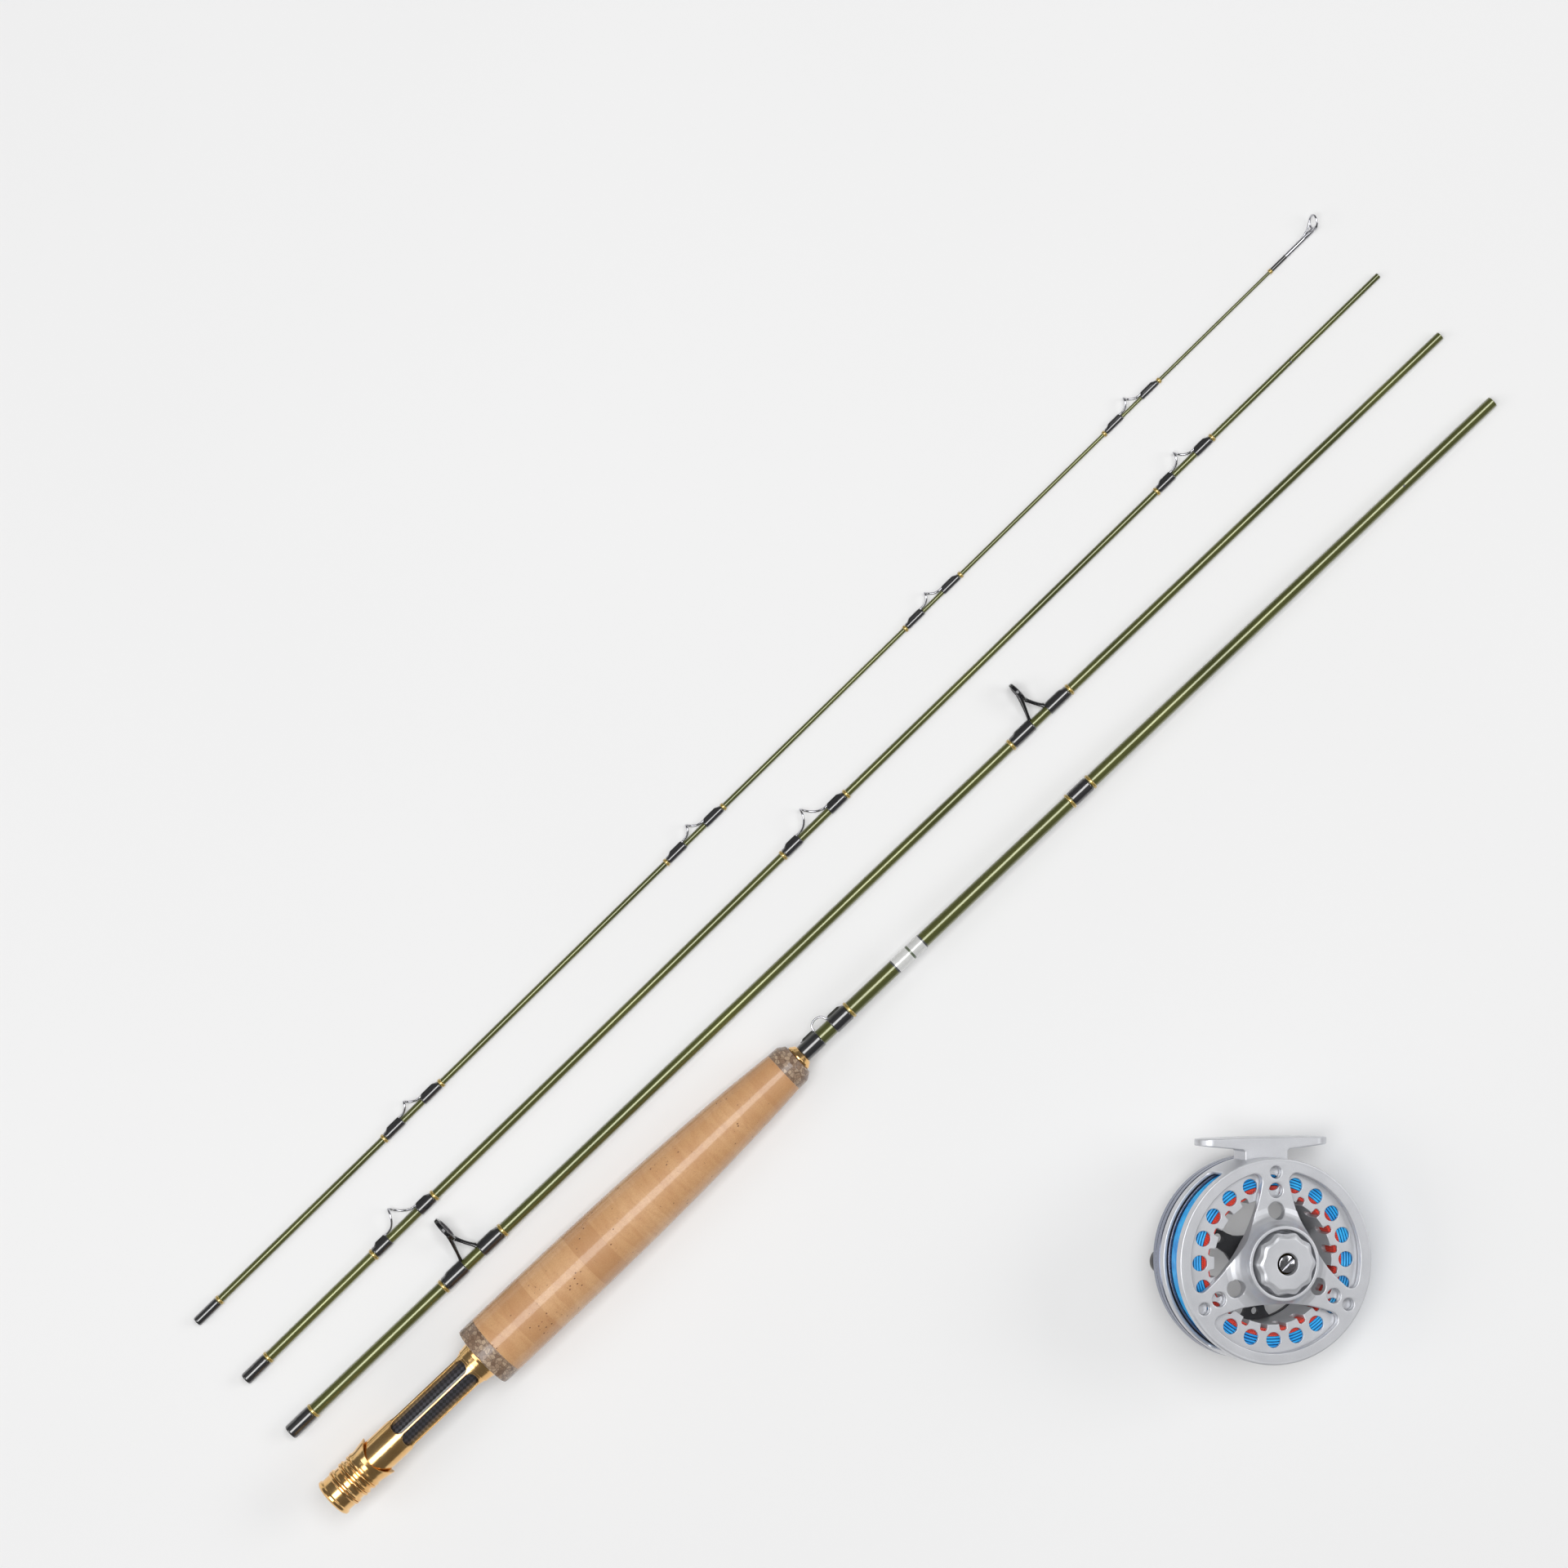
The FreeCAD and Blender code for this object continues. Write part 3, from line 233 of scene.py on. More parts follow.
def rounded(corners, steps=5, close=True):
    """An outline whose corners (a, b, radius) are rounded; a corner of radius 0 stays sharp."""
    count = len(corners)
    result = []
    for index, (a, b, radius) in enumerate(corners):
        here = Vector((a, b))
        if radius <= 0 or (not close and index in (0, count - 1)):
            result.append((a, b))
            continue
        back = Vector(corners[index - 1][:2]) - here
        ahead = Vector(corners[(index + 1) % count][:2]) - here
        u = back.normalized()
        v = ahead.normalized()
        half = math.acos(max(-1.0, min(1.0, u.dot(v)))) / 2
        if half > math.pi / 2 - 0.01:
            result.append((a, b))
            continue
        reach = min(radius / math.tan(half), back.length * 0.49, ahead.length * 0.49)
        centre = here + (u + v).normalized() * (reach * math.tan(half) / math.sin(half))
        first = here + u * reach - centre
        last = here + v * reach - centre
        sweep = math.atan2(first.x * last.y - first.y * last.x, first.dot(last))
        for step in range(steps + 1):
            c, s = math.cos(sweep * step / steps), math.sin(sweep * step / steps)
            result.append((centre.x + first.x * c - first.y * s, centre.y + first.x * s + first.y * c))
    return result


def finer(outline, step, close=True, beyond=0.0):
    """An outline with no two points further apart than a step where both radii are beyond a value."""
    result = []
    for (a, r), (b, s) in zip(outline, outline[1:] + outline[:1] if close else outline[1:]):
        steps = max(1, int(math.hypot(b - a, s - r) / step)) if min(r, s) > beyond else 1
        result += [(a + (b - a) * k / steps, r + (s - r) * k / steps) for k in range(steps)]
    return result if close else result + outline[-1:]


def lathe(piece, profile, about="X", segments=72, close=True, shape=None):
    """Turns a profile of (along, radius) about an axis; shape may move each (along, radius, angle)."""
    rows = []
    for a, r in profile:
        row = []
        for angle in turns(segments):
            x, radius = shape(a, r, angle) if shape else (a, r)
            point = (x, radius * math.cos(angle), radius * math.sin(angle))
            row.append(point if about == "X" else point[1:] + point[:1])
        rows.append(row)
    girth = TURN * max(r for a, r in profile)
    return piece.grid(rows, close, girth, [a for a, r in profile] + [profile[0][0]])


def sleeve(start, end, inner, outer, edge, segments):
    """A short ring about X with softened outer edges."""
    return turned([(start, inner, 0), (start, outer, edge), (end, outer, edge), (end, inner, 0)], 3, segments)


def turned(corners, steps=5, segments=72, about="X", close=True):
    """A new piece turned from a profile with rounded corners."""
    return lathe(Piece(), rounded(corners, steps, close), about, segments, close)


def frames_along(points):
    """Unit tangents with a side vector carried along without twist."""
    points = [Vector(p) for p in points]
    tangents = [(high - low).normalized() for low, high in zip(points[:1] + points, points[1:] + points[-1:])]
    side = tangents[0].orthogonal().normalized()
    sides = [side]
    for before, after in zip(tangents, tangents[1:]):
        side = before.rotation_difference(after) @ side
        side = (side - after * side.dot(after)).normalized()
        sides.append(side)
    return points, tangents, sides


def wire(piece, points, radius, sides=12, flat=1.0):
    """A round wire along points; radius is a number or one for each point."""
    points, tangents, normals = frames_along(points)
    radii = radius if hasattr(radius, "__len__") else [radius] * len(points)
    rows = []
    for point, tangent, normal, r in zip(points, tangents, normals, radii):
        other = tangent.cross(normal)
        rows.append([tuple(point + normal * (r * math.cos(turn)) +
                           other * (r * flat * math.sin(turn))) for turn in turns(sides)])
    lengths = [0.0]
    for low, high in zip(points, points[1:]):
        lengths.append(lengths[-1] + (high - low).length)
    return piece.grid(rows, False, TURN * radii[0], lengths).cap(rows[0]).cap(rows[-1])


def shares(steps):
    """Even steps from 0 to 1, both included."""
    return [k / steps for k in range(steps + 1)]


def turns(steps):
    """Even angles round one turn."""
    return [TURN * k / steps for k in range(steps)]


def arc(cx, cy, radius, start, end, steps):
    """Points on an arc, ends included, angles in radians."""
    return [(cx + radius * math.cos(start + (end - start) * k / steps),
             cy + radius * math.sin(start + (end - start) * k / steps)) for k in range(steps + 1)]


def circle(cx, cy, radius, steps=48):
    """Points on a circle."""
    return arc(cx, cy, radius, 0, TURN, steps)[:-1]


def hole(bearing, distance, radius, steps=36):
    """A circle whose centre lies at a bearing and a distance from the origin."""
    return circle(distance * math.cos(bearing), distance * math.sin(bearing), radius, steps)


def box_outline(middle, half, low, high, corner):
    """A rectangle with round corners, from middle - half to middle + half and from low to high."""
    return rounded([(middle - half, low, corner), (middle + half, low, corner),
                    (middle + half, high, corner), (middle - half, high, corner)], 8)


def moved(outline, angle):
    """An outline turned about the origin."""
    c, s = math.cos(angle), math.sin(angle)
    return [(x * c - y * s, x * s + y * c) for x, y in outline]


def flat_plate(outline, holes, thickness, edge):
    """A plate with softly rounded edges, centred on Z = 0, as a Blender mesh."""
    curve = bpy.data.curves.new("plate", "CURVE")
    curve.dimensions = "2D"
    curve.fill_mode = "BOTH"
    curve.extrude = thickness / 2 - edge
    curve.bevel_depth = edge
    curve.bevel_resolution = 3
    curve.offset = -edge
    for points in [outline, *holes]:
        spline = curve.splines.new("POLY")
        spline.points.add(len(points) - 1)
        for point, (x, y) in zip(spline.points, points):
            point.co = (x, y, 0, 1)
        spline.use_cyclic_u = True
    item = bpy.data.objects.new("plate", curve)
    mesh = bpy.data.meshes.new_from_object(item)
    bpy.data.objects.remove(item)
    bpy.data.curves.remove(curve)
    return mesh


def sliced(mesh, cuts, trim=False):
    """Cuts the mesh by planes, each (axis, value); trim drops what is past the first and the last."""
    work = bmesh.new()
    work.from_mesh(mesh)
    bmesh.ops.remove_doubles(work, verts=work.verts, dist=0.0005)
    for index, (axis, value) in enumerate(cuts):
        bmesh.ops.bisect_plane(work, geom=work.verts[:] + work.edges[:] + work.faces[:], dist=0.00005,
                               plane_co=[value * (k == axis) for k in range(3)],
                               plane_no=[float(k == axis) for k in range(3)],
                               clear_inner=trim and index == 0, clear_outer=trim and index == len(cuts) - 1)
    work.to_mesh(mesh)
    work.free()


def rolled_plate(outline, holes, radius, thickness, edge, about, steps):
    """A plate drawn with arc length across and height up, cut to one turn and rolled into a tube."""
    mesh = flat_plate(outline, holes, thickness, edge)
    sliced(mesh, [(0, TURN * radius * k / steps) for k in range(steps + 1)], True)
    for vertex in mesh.vertices:
        angle = vertex.co.x / radius
        r = radius + vertex.co.z
        point = (vertex.co.y, r * math.cos(angle), r * math.sin(angle))
        vertex.co = point if about == "X" else point[1:] + point[:1]
    return mesh


def slab(piece, outline, holes, low, high, edge, cuts=(), bend=None):
    """Adds a flat plate between two heights; bend may move every point."""
    mesh = flat_plate(outline, holes, high - low, edge)
    if cuts:
        sliced(mesh, cuts)
    for vertex in mesh.vertices:
        vertex.co.z += (high + low) / 2
        if bend:
            vertex.co = bend(*vertex.co)
    piece.take(mesh)
    bpy.data.meshes.remove(mesh)
    return piece


# ---------------------------------------------------------------- materials

class Paint:
    """A procedural material; its nodes are added by short calls. Lengths are in millimetres."""

    def __init__(self, name, **sockets):
        self.material = bpy.data.materials.new(name)
        self.material.use_nodes = True
        self.nodes = self.material.node_tree.nodes
        self.links = self.material.node_tree.links
        self.surface = self.nodes["Principled BSDF"]
        for socket, value in sockets.items():
            self.surface.inputs[socket.replace("_", " ")].default_value = value
        self.heights = None

    def node(self, kind, inputs=None, **settings):
        """A node; inputs maps sockets to values or to outputs."""
        node = self.nodes.new("ShaderNode" + kind)
        for key, value in settings.items():
            setattr(node, key, value)
        for key, value in (inputs or {}).items():
            if isinstance(value, bpy.types.NodeSocket):
                self.links.new(value, node.inputs[key])
            else:
                node.inputs[key].default_value = value
        return node

    def place(self, stretch=(1, 1, 1), turn=0.0, unrolled=False):
        """Coordinates in millimetres, the object's or the piece's unrolled map, turned about Z."""
        if unrolled:
            source = self.node("UVMap", uv_map="unrolled").outputs[0]
        else:
            source = self.node("TexCoord").outputs["Object"]
            stretch = [value / MM for value in stretch]
        return self.node("Mapping", {"Vector": source, "Scale": stretch, "Rotation": (0, 0, turn)}).outputs[0]

    def noise(self, size, where=None, detail=3.0, rough=0.55, warp=0.0):
        """Noise whose features are about size millimetres."""
        return self.node("TexNoise", {"Vector": where or self.place(), "Scale": 1 / size, "Detail": detail,
                                      "Roughness": rough, "Distortion": warp}).outputs[0]

    def ramp(self, value, *stops):
        """A colour ramp of (position, colour) stops, as a colour output."""
        node = self.node("ValToRGB", {"Fac": value})
        points = node.color_ramp.elements
        while len(points) < len(stops):
            points.new(0.5)
        for point, (position, colour) in zip(points, stops):
            point.position = position
            point.color = colour if hasattr(colour, "__len__") else (colour, colour, colour, 1)
        return node.outputs[0]

    def math(self, operation, a, b):
        """An operation on two values or outputs."""
        return self.node("Math", {0: a, 1: b}, operation=operation).outputs[0]

    def mix(self, share, a, b, blend="MIX"):
        """Colour a with a share of colour b."""
        return self.node("Mix", {0: share, 6: a, 7: b}, data_type="RGBA", blend_type=blend).outputs[2]

    def checks(self, where, scale):
        """A black and white checker pattern."""
        inputs = {"Vector": where, "Scale": scale, "Color1": WHITE, "Color2": BLACK}
        return self.node("TexChecker", inputs).outputs["Fac"]

    def along(self, start, length):
        """How far along a turned piece a point lies: 0 at start and 1 a length further."""
        along = self.node("SeparateXYZ", {0: self.place(unrolled=True)}).outputs[1]
        return self.math("DIVIDE", self.math("SUBTRACT", along, start), length)

    def colour(self, output):
        """Links an output to the surface's colour."""
        self.links.new(output, self.surface.inputs["Base Color"])

    def rough(self, output):
        """Links an output to the surface's roughness."""
        self.links.new(output, self.surface.inputs["Roughness"])

    def bump(self, height, depth, strength=1.0):
        """Adds relief of a depth in millimetres, on top of any before it."""
        node = self.node("Bump", {"Height": height, "Distance": depth * MM, "Strength": strength})
        if self.heights:
            self.links.new(self.heights, node.inputs["Normal"])
        self.heights = node.outputs[0]
        self.links.new(self.heights, self.surface.inputs["Normal"])


def rgb(*levels):
    """A colour from display values of 0 to 255, as linear light."""
    return tuple(v / 255 / 12.92 if v <= 10 else ((v / 255 + 0.055) / 1.055) ** 2.4 for v in levels) + (1,)


def olive_blank():
    paint = Paint("olive_blank_lacquer", Metallic=0.5, Roughness=0.3, Coat_Weight=1.0, Coat_Roughness=0.1,
                  Coat_IOR=1.6)
    grain = paint.noise(1.6, paint.place((0.05, 1, 1)), 4)
    cloud = paint.noise(38, paint.place((0.6, 1, 1)), 2)
    body = paint.ramp(cloud, (0.3, rgb(84, 88, 40)), (0.7, rgb(112, 115, 58)))
    paint.colour(paint.mix(paint.ramp(grain, (0.35, 0.0), (0.7, 0.35)), body, rgb(58, 64, 20)))
    paint.rough(paint.ramp(grain, (0.2, 0.24), (0.8, 0.36)))
    paint.bump(grain, 0.01)
    return paint.material


def gold_metal():
    paint = Paint("gold_plate", Metallic=1.0, Coat_Weight=0.25, Coat_Roughness=0.04)
    cloud = paint.noise(9, None, 3)
    scuffs = paint.noise(0.25, paint.place((0.12, 1, 1)), 2)
    paint.colour(paint.ramp(cloud, (0.25, rgb(232, 180, 110)), (0.75, rgb(247, 207, 146))))
    paint.rough(paint.ramp(scuffs, (0.3, 0.17), (0.75, 0.25)))
    paint.bump(scuffs, 0.0008)
    return paint.material


def carbon_weave():
    paint = Paint("carbon_twill", Coat_Weight=1.0, Coat_Roughness=0.04, Metallic=0.2)
    where = paint.place(turn=math.radians(45), unrolled=True)
    checks = paint.checks(where, 0.72)
    waves = {"Vector": where, "Scale": 2.6, "Distortion": 0.3}
    tows, woof = (paint.node("TexWave", waves, bands_direction=axis).outputs[1] for axis in "XY")
    strand = paint.mix(checks, tows, woof)
    shade = paint.mix(checks, rgb(18, 17, 20), rgb(60, 58, 66))
    paint.colour(paint.mix(0.35, shade, strand, "MULTIPLY"))
    paint.rough(paint.ramp(checks, (0.0, 0.55), (1.0, 0.3)))
    paint.bump(strand, 0.03)
    return paint.material


def cork():
    paint = Paint("cork_rings", Coat_Weight=0.75, Coat_Roughness=0.12, Coat_IOR=1.45)
    ring = paint.math("FLOOR", paint.along(GRIP_START, CORK_STEP), 0.0)
    tone = paint.node("TexWhiteNoise", {"W": ring}, noise_dimensions="1D").outputs[0]
    base = paint.ramp(tone, (0.0, rgb(196, 148, 102)), (0.5, rgb(207, 160, 112)), (1.0, rgb(216, 171, 124)))
    streak = paint.noise(5.5, paint.place((1.6, 0.45, 0.45)), 5, 0.6, 0.6)
    base = paint.mix(paint.ramp(streak, (0.42, 0.0), (0.72, 0.55)), base, rgb(188, 134, 88))
    fine = paint.noise(0.55, None, 4, 0.65)
    base = paint.mix(paint.ramp(fine, (0.35, 0.28), (0.6, 0.0)), base, rgb(171, 120, 78))
    pores = paint.node("TexVoronoi", {"Vector": paint.place((0.8, 1, 1)), "Scale": 1 / 2.3})
    holes = paint.ramp(pores.outputs["Distance"], (0.07, 1.0), (0.17, 0.0))
    chosen = paint.ramp(paint.noise(7.5, None, 2), (0.5, 0.0), (0.58, 1.0))
    pit = paint.math("MULTIPLY", holes, chosen)
    lens = paint.noise(2.1, paint.place((2.4, 0.55, 0.55)), 3, 0.6, 1.2)
    marks = paint.math("MAXIMUM", pit, paint.ramp(lens, (0.7, 0.0), (0.76, 1.0)))
    paint.colour(paint.mix(marks, base, rgb(112, 72, 44)))
    paint.rough(paint.ramp(fine, (0.3, 0.62), (0.7, 0.45)))
    paint.bump(fine, 0.05, 0.6)
    paint.bump(paint.math("SUBTRACT", 1.0, marks), 0.12)
    return paint.material


def burl_cork():
    paint = Paint("burl_cork_rings", Roughness=0.5, Coat_Weight=0.7, Coat_Roughness=0.15)
    where = paint.place((1, 0.8, 0.8))
    cells = paint.node("TexVoronoi", {"Vector": where, "Scale": 1 / 1.5})
    edge = paint.node("TexVoronoi", {"Vector": where, "Scale": 1 / 1.5}, feature="DISTANCE_TO_EDGE")
    tone = paint.node("TexWhiteNoise", {"Vector": cells.outputs["Color"]}, noise_dimensions="3D").outputs[0]
    grit = paint.noise(0.4, where, 4, 0.7)
    grains = paint.ramp(tone, (0.0, rgb(118, 92, 72)), (0.35, rgb(150, 122, 98)), (0.7, rgb(172, 148, 124)),
                        (1.0, rgb(196, 170, 142)))
    seams = paint.ramp(edge.outputs["Distance"], (0.0, 0.75), (0.12, 0.0))
    grains = paint.mix(seams, grains, rgb(92, 70, 54))
    paint.colour(paint.mix(paint.ramp(grit, (0.35, 0.5), (0.6, 0.0)), grains, rgb(104, 82, 66)))
    paint.bump(grit, 0.06)
    return paint.material


def thread(name, dark, light, metallic):
    """Thread wound close, under a clear coat; the unrolled map's second axis runs along the rod."""
    paint = Paint(name, Metallic=metallic, Roughness=0.4, Coat_Weight=1.0, Coat_Roughness=0.06, Coat_IOR=1.9)
    where = paint.place(unrolled=True)
    turns = paint.node("TexWave", {"Vector": where, "Scale": 1.6, "Distortion": 0.12, "Detail": 1.0},
                       bands_direction="Y", wave_profile="SIN").outputs[1]
    # the colour follows the same waves as the relief: painted shade in the grooves between turns and a painted
    # highlight on each turn's crown
    paint.colour(paint.mix(turns, dark, light))
    paint.bump(turns, 0.02, 0.7)
    return paint.material


def clouded(name, size, detail, low, high, rough, tops=(0.75, 0.75), depth=0.0, **sockets):
    """One noise gives colour and roughness, each from its first value to its last, and any relief."""
    paint = Paint(name, **sockets)
    cloud = paint.noise(size, None, detail)
    paint.colour(paint.ramp(cloud, (0.3, low), (tops[0], high)))
    paint.rough(paint.ramp(cloud, (0.3, rough[0]), (tops[1], rough[1])))
    if depth:
        paint.bump(cloud, depth)
    return paint.material


def plain_label():
    paint = Paint("plain_sleeve", Roughness=0.3, Coat_Weight=1.0, Coat_Roughness=0.05, Metallic=0.1)
    share = paint.along(LABEL_SPAN[0], LABEL_SPAN[1] - LABEL_SPAN[0])
    dark, green = rgb(60, 62, 66), rgb(86, 98, 74)
    bands = paint.ramp(share, (0.0, dark), (0.045, rgb(222, 222, 220)), (0.53, green),
                       (0.59, rgb(214, 214, 212)), (0.955, dark))
    bands.node.color_ramp.interpolation = "CONSTANT"
    dust = paint.ramp(paint.noise(0.8, None, 3), (0.4, 0.14), (0.7, 0.0))
    paint.colour(paint.mix(dust, bands, rgb(150, 152, 150)))
    return paint.material


def satin_metal(name, low, high, metallic, rough, grain=0.1, depth=0.012):
    """Blasted and clear-anodised metal: a fine sparkle with soft clouding."""
    paint = Paint(name, Metallic=metallic, Coat_Weight=0.15, Coat_Roughness=0.25)
    speck = paint.noise(grain, None, 2, 0.7)
    cloud = paint.noise(14, None, 2)
    tone = paint.mix(0.3, speck, cloud)
    paint.colour(paint.ramp(tone, (0.3, low), (0.68, high)))
    paint.rough(paint.ramp(speck, (0.3, rough - 0.07), (0.7, rough + 0.07)))
    paint.bump(speck, depth)
    return paint.material


def wound_line(name, low, high):
    """The line's smooth coating, clouded a little along its length."""
    paint = Paint(name, Roughness=0.38, Coat_Weight=0.35, Coat_Roughness=0.2)
    paint.colour(paint.ramp(paint.noise(6, None, 3), (0.3, low), (0.7, high)))
    paint.bump(paint.noise(0.16, None, 3), 0.012)
    return paint.material


def braid(name, low, high):
    """Soft braided cord: short slanted strands round each turn."""
    paint = Paint(name, Roughness=0.72, Sheen_Weight=0.25)
    where = paint.place((3.0, 1.6, 1), math.radians(38), unrolled=True)
    tone = paint.mix(0.35, paint.checks(where, 1.0), paint.noise(0.12, None, 3))
    paint.colour(paint.ramp(tone, (0.15, low), (0.8, high)))
    paint.bump(tone, 0.05)
    return paint.material


def moulded(name, low, high, rough):
    """Plain moulded plastic or fibre with a fine grain."""
    return clouded(name, 0.3, 3, low, high, (rough - 0.08, rough + 0.08), depth=0.02)


def node_span(node):
    """Where a node of the butt section starts and ends."""
    low, high = extent(node, BUTT)
    return low[0], high[0]


GRIP_START, GRIP_END = node_span("cork_grip")
CORK_COUNT = 13
CORK_STEP = (GRIP_END - GRIP_START) / CORK_COUNT
LABEL_SPAN = spans("butt_label", BUTT)[0]

PAINTS = {
    "olive_blank": olive_blank(),
    "gold_metal": gold_metal(),
    "carbon_weave": carbon_weave(),
    "spacer_foam": moulded("spacer_foam_grain", rgb(30, 30, 32), rgb(56, 56, 58), 0.8),
    "cork": cork(),
    "burl_cork": burl_cork(),
    "chrome_wire": clouded("polished_wire", 1.2, 4, rgb(172, 172, 178), rgb(204, 204, 208), (0.08, 0.2),
                           (0.7, 0.8), Metallic=1.0),
    "black_thread": thread("black_thread_wrap", rgb(7, 7, 8), rgb(24, 24, 27), 0.0),
    "gold_thread": thread("gold_thread_band", rgb(132, 104, 34), rgb(226, 196, 100), 0.75),
    "plain_label": plain_label(),
    "black_frame": clouded("black_guide_frame", 0.8, 4, rgb(20, 20, 22), rgb(40, 40, 44), (0.2, 0.34),
                           Metallic=0.6, Coat_Weight=0.9, Coat_Roughness=0.08),
    "ceramic_ring": clouded("guide_ceramic", 0.7, 3, rgb(58, 56, 60), rgb(92, 88, 92), (0.06, 0.14),
                            Coat_Weight=0.4, Coat_Roughness=0.03),
    "reel_silver": satin_metal("satin_silver", rgb(188, 190, 195), rgb(222, 223, 227), 0.55, 0.4),
    "dark_anodised": satin_metal("grey_sparkle", rgb(34, 35, 37), rgb(82, 83, 87), 0.35, 0.5, 0.14, 0.02),
    "bare_steel": satin_metal("turned_steel", rgb(168, 168, 170), rgb(206, 206, 208), 1.0, 0.25, 0.3, 0.005),
    # the rim's blue-grey, darker colour is a painted reflection of the blue line and of dark surroundings, not the
    # metal's own tint
    "polished_rim": satin_metal("polished_rim", rgb(116, 122, 140), rgb(144, 150, 168), 0.85, 0.24, 0.3,
                                0.002),
    "washer_fibre": moulded("washer_fibre_grain", rgb(46, 40, 34), rgb(84, 74, 62), 0.7),
    "nut_brass": satin_metal("nut_brass_turned", rgb(70, 58, 38), rgb(104, 88, 58), 0.9, 0.4, 0.3, 0.005),
    "backing_red": braid("red_braid", rgb(196, 26, 14), rgb(253, 70, 38)),
    "line_blue": wound_line("line_coating", rgb(14, 142, 222), rgb(52, 190, 250)),
    # darker copies of the line's and the backing's colours: painted shade for the cores under the turns that show
    "line_shadow": wound_line("line_below", rgb(3, 30, 66), rgb(7, 48, 96)),
    "backing_shadow": moulded("backing_below", rgb(70, 6, 5), rgb(112, 14, 10), 0.8),
    "handle_black": moulded("handle_plastic", rgb(20, 20, 22), rgb(38, 38, 41), 0.35),
}


# ---------------------------------------------------------------- rod sections

class Rod:
    """One rod section: its body, where it lies, and its taper as measured on its CAD blank."""

    def __init__(self, name, body, blank, spigot=45.0):
        self.name = name
        self.body = body
        self.blank = blank
        self.place = PLACES[body]
        points = local_points(blank, self.place)
        across = np.hypot(points[:, 1], points[:, 2])
        self.start = points[:, 0].min()
        self.end = points[:, 0].max()
        self.spigot = self.end - spigot
        self.low = across[points[:, 0] < self.start + 0.01].max()
        self.top = across[points[:, 0] > self.end - 0.01].max()

    def radius(self, along):
        """Outer radius of the blank."""
        share = min((along - self.start) / (self.spigot - self.start), 1.0)
        return self.low + (self.top - self.low) * share

    def tube(self, bore, depth):
        """The blank, open at its mouth and at its top end."""
        steps = 60
        edge = 0.15
        wall = min(0.45, self.top * 0.5)
        profile = [(self.start + depth, bore), (self.start + edge, bore), (self.start, bore + edge),
                   (self.start, self.radius(self.start) - edge)]
        for step in range(steps + 1):
            along = self.start + edge + (self.spigot - self.start - edge) * step / steps
            profile.append((along, self.radius(along)))
        profile += [(self.end - edge, self.top), (self.end, self.top - edge), (self.end, self.top - wall),
                    (self.end - 6, self.top - wall)]
        piece = lathe(Piece(), profile, "X", 40, False)
        piece.show(self.name + "_tube", self.body, "olive_blank", self.blank, 32)

    def dot(self):
        """The small painted mark near the top end that lines the sections up."""
        along = self.end - 52
        radius = self.radius(along)
        size = 0.55
        rows = []
        for share in (0.02, 0.7, 1.0):
            lift = radius + 0.06 * (1 - share ** 4) - 0.01
            row = []
            for turn in turns(20):
                x = along + size * share * math.cos(turn)
                around = size * share * math.sin(turn) / radius
                row.append((x, lift * math.sin(around), lift * math.cos(around)))
            rows.append(row)
        piece = Piece().grid(rows).cap(rows[0])
        piece.show(self.name + "_alignment_dot", self.body, "plain_label", crease=32)

    def wraps(self, node, humps=()):
        """Thread wraps under clear epoxy: rounded ends, and a hump over each guide's foot."""
        piece = Piece()
        steps = 26
        round_end = 0.8
        slope = 1.6                    # over this length a hump rises, and it falls again
        taper = 0.6                    # humps stop this far from a wrap's ends
        for low, high in spans(node, self.place):
            feet = [hump for hump in humps if low - 0.5 < hump[0] and hump[1] < high + 0.5]
            profile = []
            for step in range(steps + 1):
                share = 0.5 - 0.5 * math.cos(math.pi * step / steps)
                along = low + (high - low) * share
                inward = min(share, 1 - share) * (high - low)
                crown = math.sqrt(max(0.0, 1 - (1 - inward / round_end) ** 2)) if inward < round_end else 1.0
                profile.append((along, self.radius(along) + 0.03 + 0.36 * crown))

            def swell(along, radius, angle):
                turn = (angle + math.pi) % TURN - math.pi
                edge = max(min((along - low) / taper, (high - along) / taper, 1.0), 0.0)
                more = 0.0
                for start, end, height, width in feet:
                    climb = min(max((along - start) / slope, 0.0), 1.0)
                    fall = min(max((end - along) / slope + 0.6, 0.0), 1.0)
                    more += height * (climb * fall) * math.exp(-(turn * radius / width) ** 2) * edge
                return along, radius + more

            profile += [(high, self.radius(high) - 0.05), (low, self.radius(low) - 0.05)]
            lathe(piece, profile, segments=44, shape=swell)
        piece.show(self.name + "_wraps", self.body, "black_thread", node, 40)

    def bands(self, node):
        """Narrow metallic thread bands beside the wraps."""
        piece = Piece()
        half = 0.7
        for span in spans(node, self.place):
            middle = sum(span) / 2
            radius = self.radius(middle)
            low, high = middle - half, middle + half
            inner, shoulder, crown = radius - 0.05, radius + 0.275, radius + 0.55
            corners = [(low, inner, 0), (low, shoulder, 0.2), (low + 0.3, crown, 0.25),
                       (high - 0.3, crown, 0.25), (high, shoulder, 0.2), (high, inner, 0)]
            lathe(piece, rounded(corners, 3), segments=44)
        piece.show(self.name + "_trim", self.body, "gold_thread", node, 45)


def between(wraps, rod, centre):
    """The bare stretch between two wraps in which a guide stands."""
    starts, ends = zip(*spans(wraps, rod.place))
    return max(end for end in ends if end < centre), min(start for start in starts if start > centre)


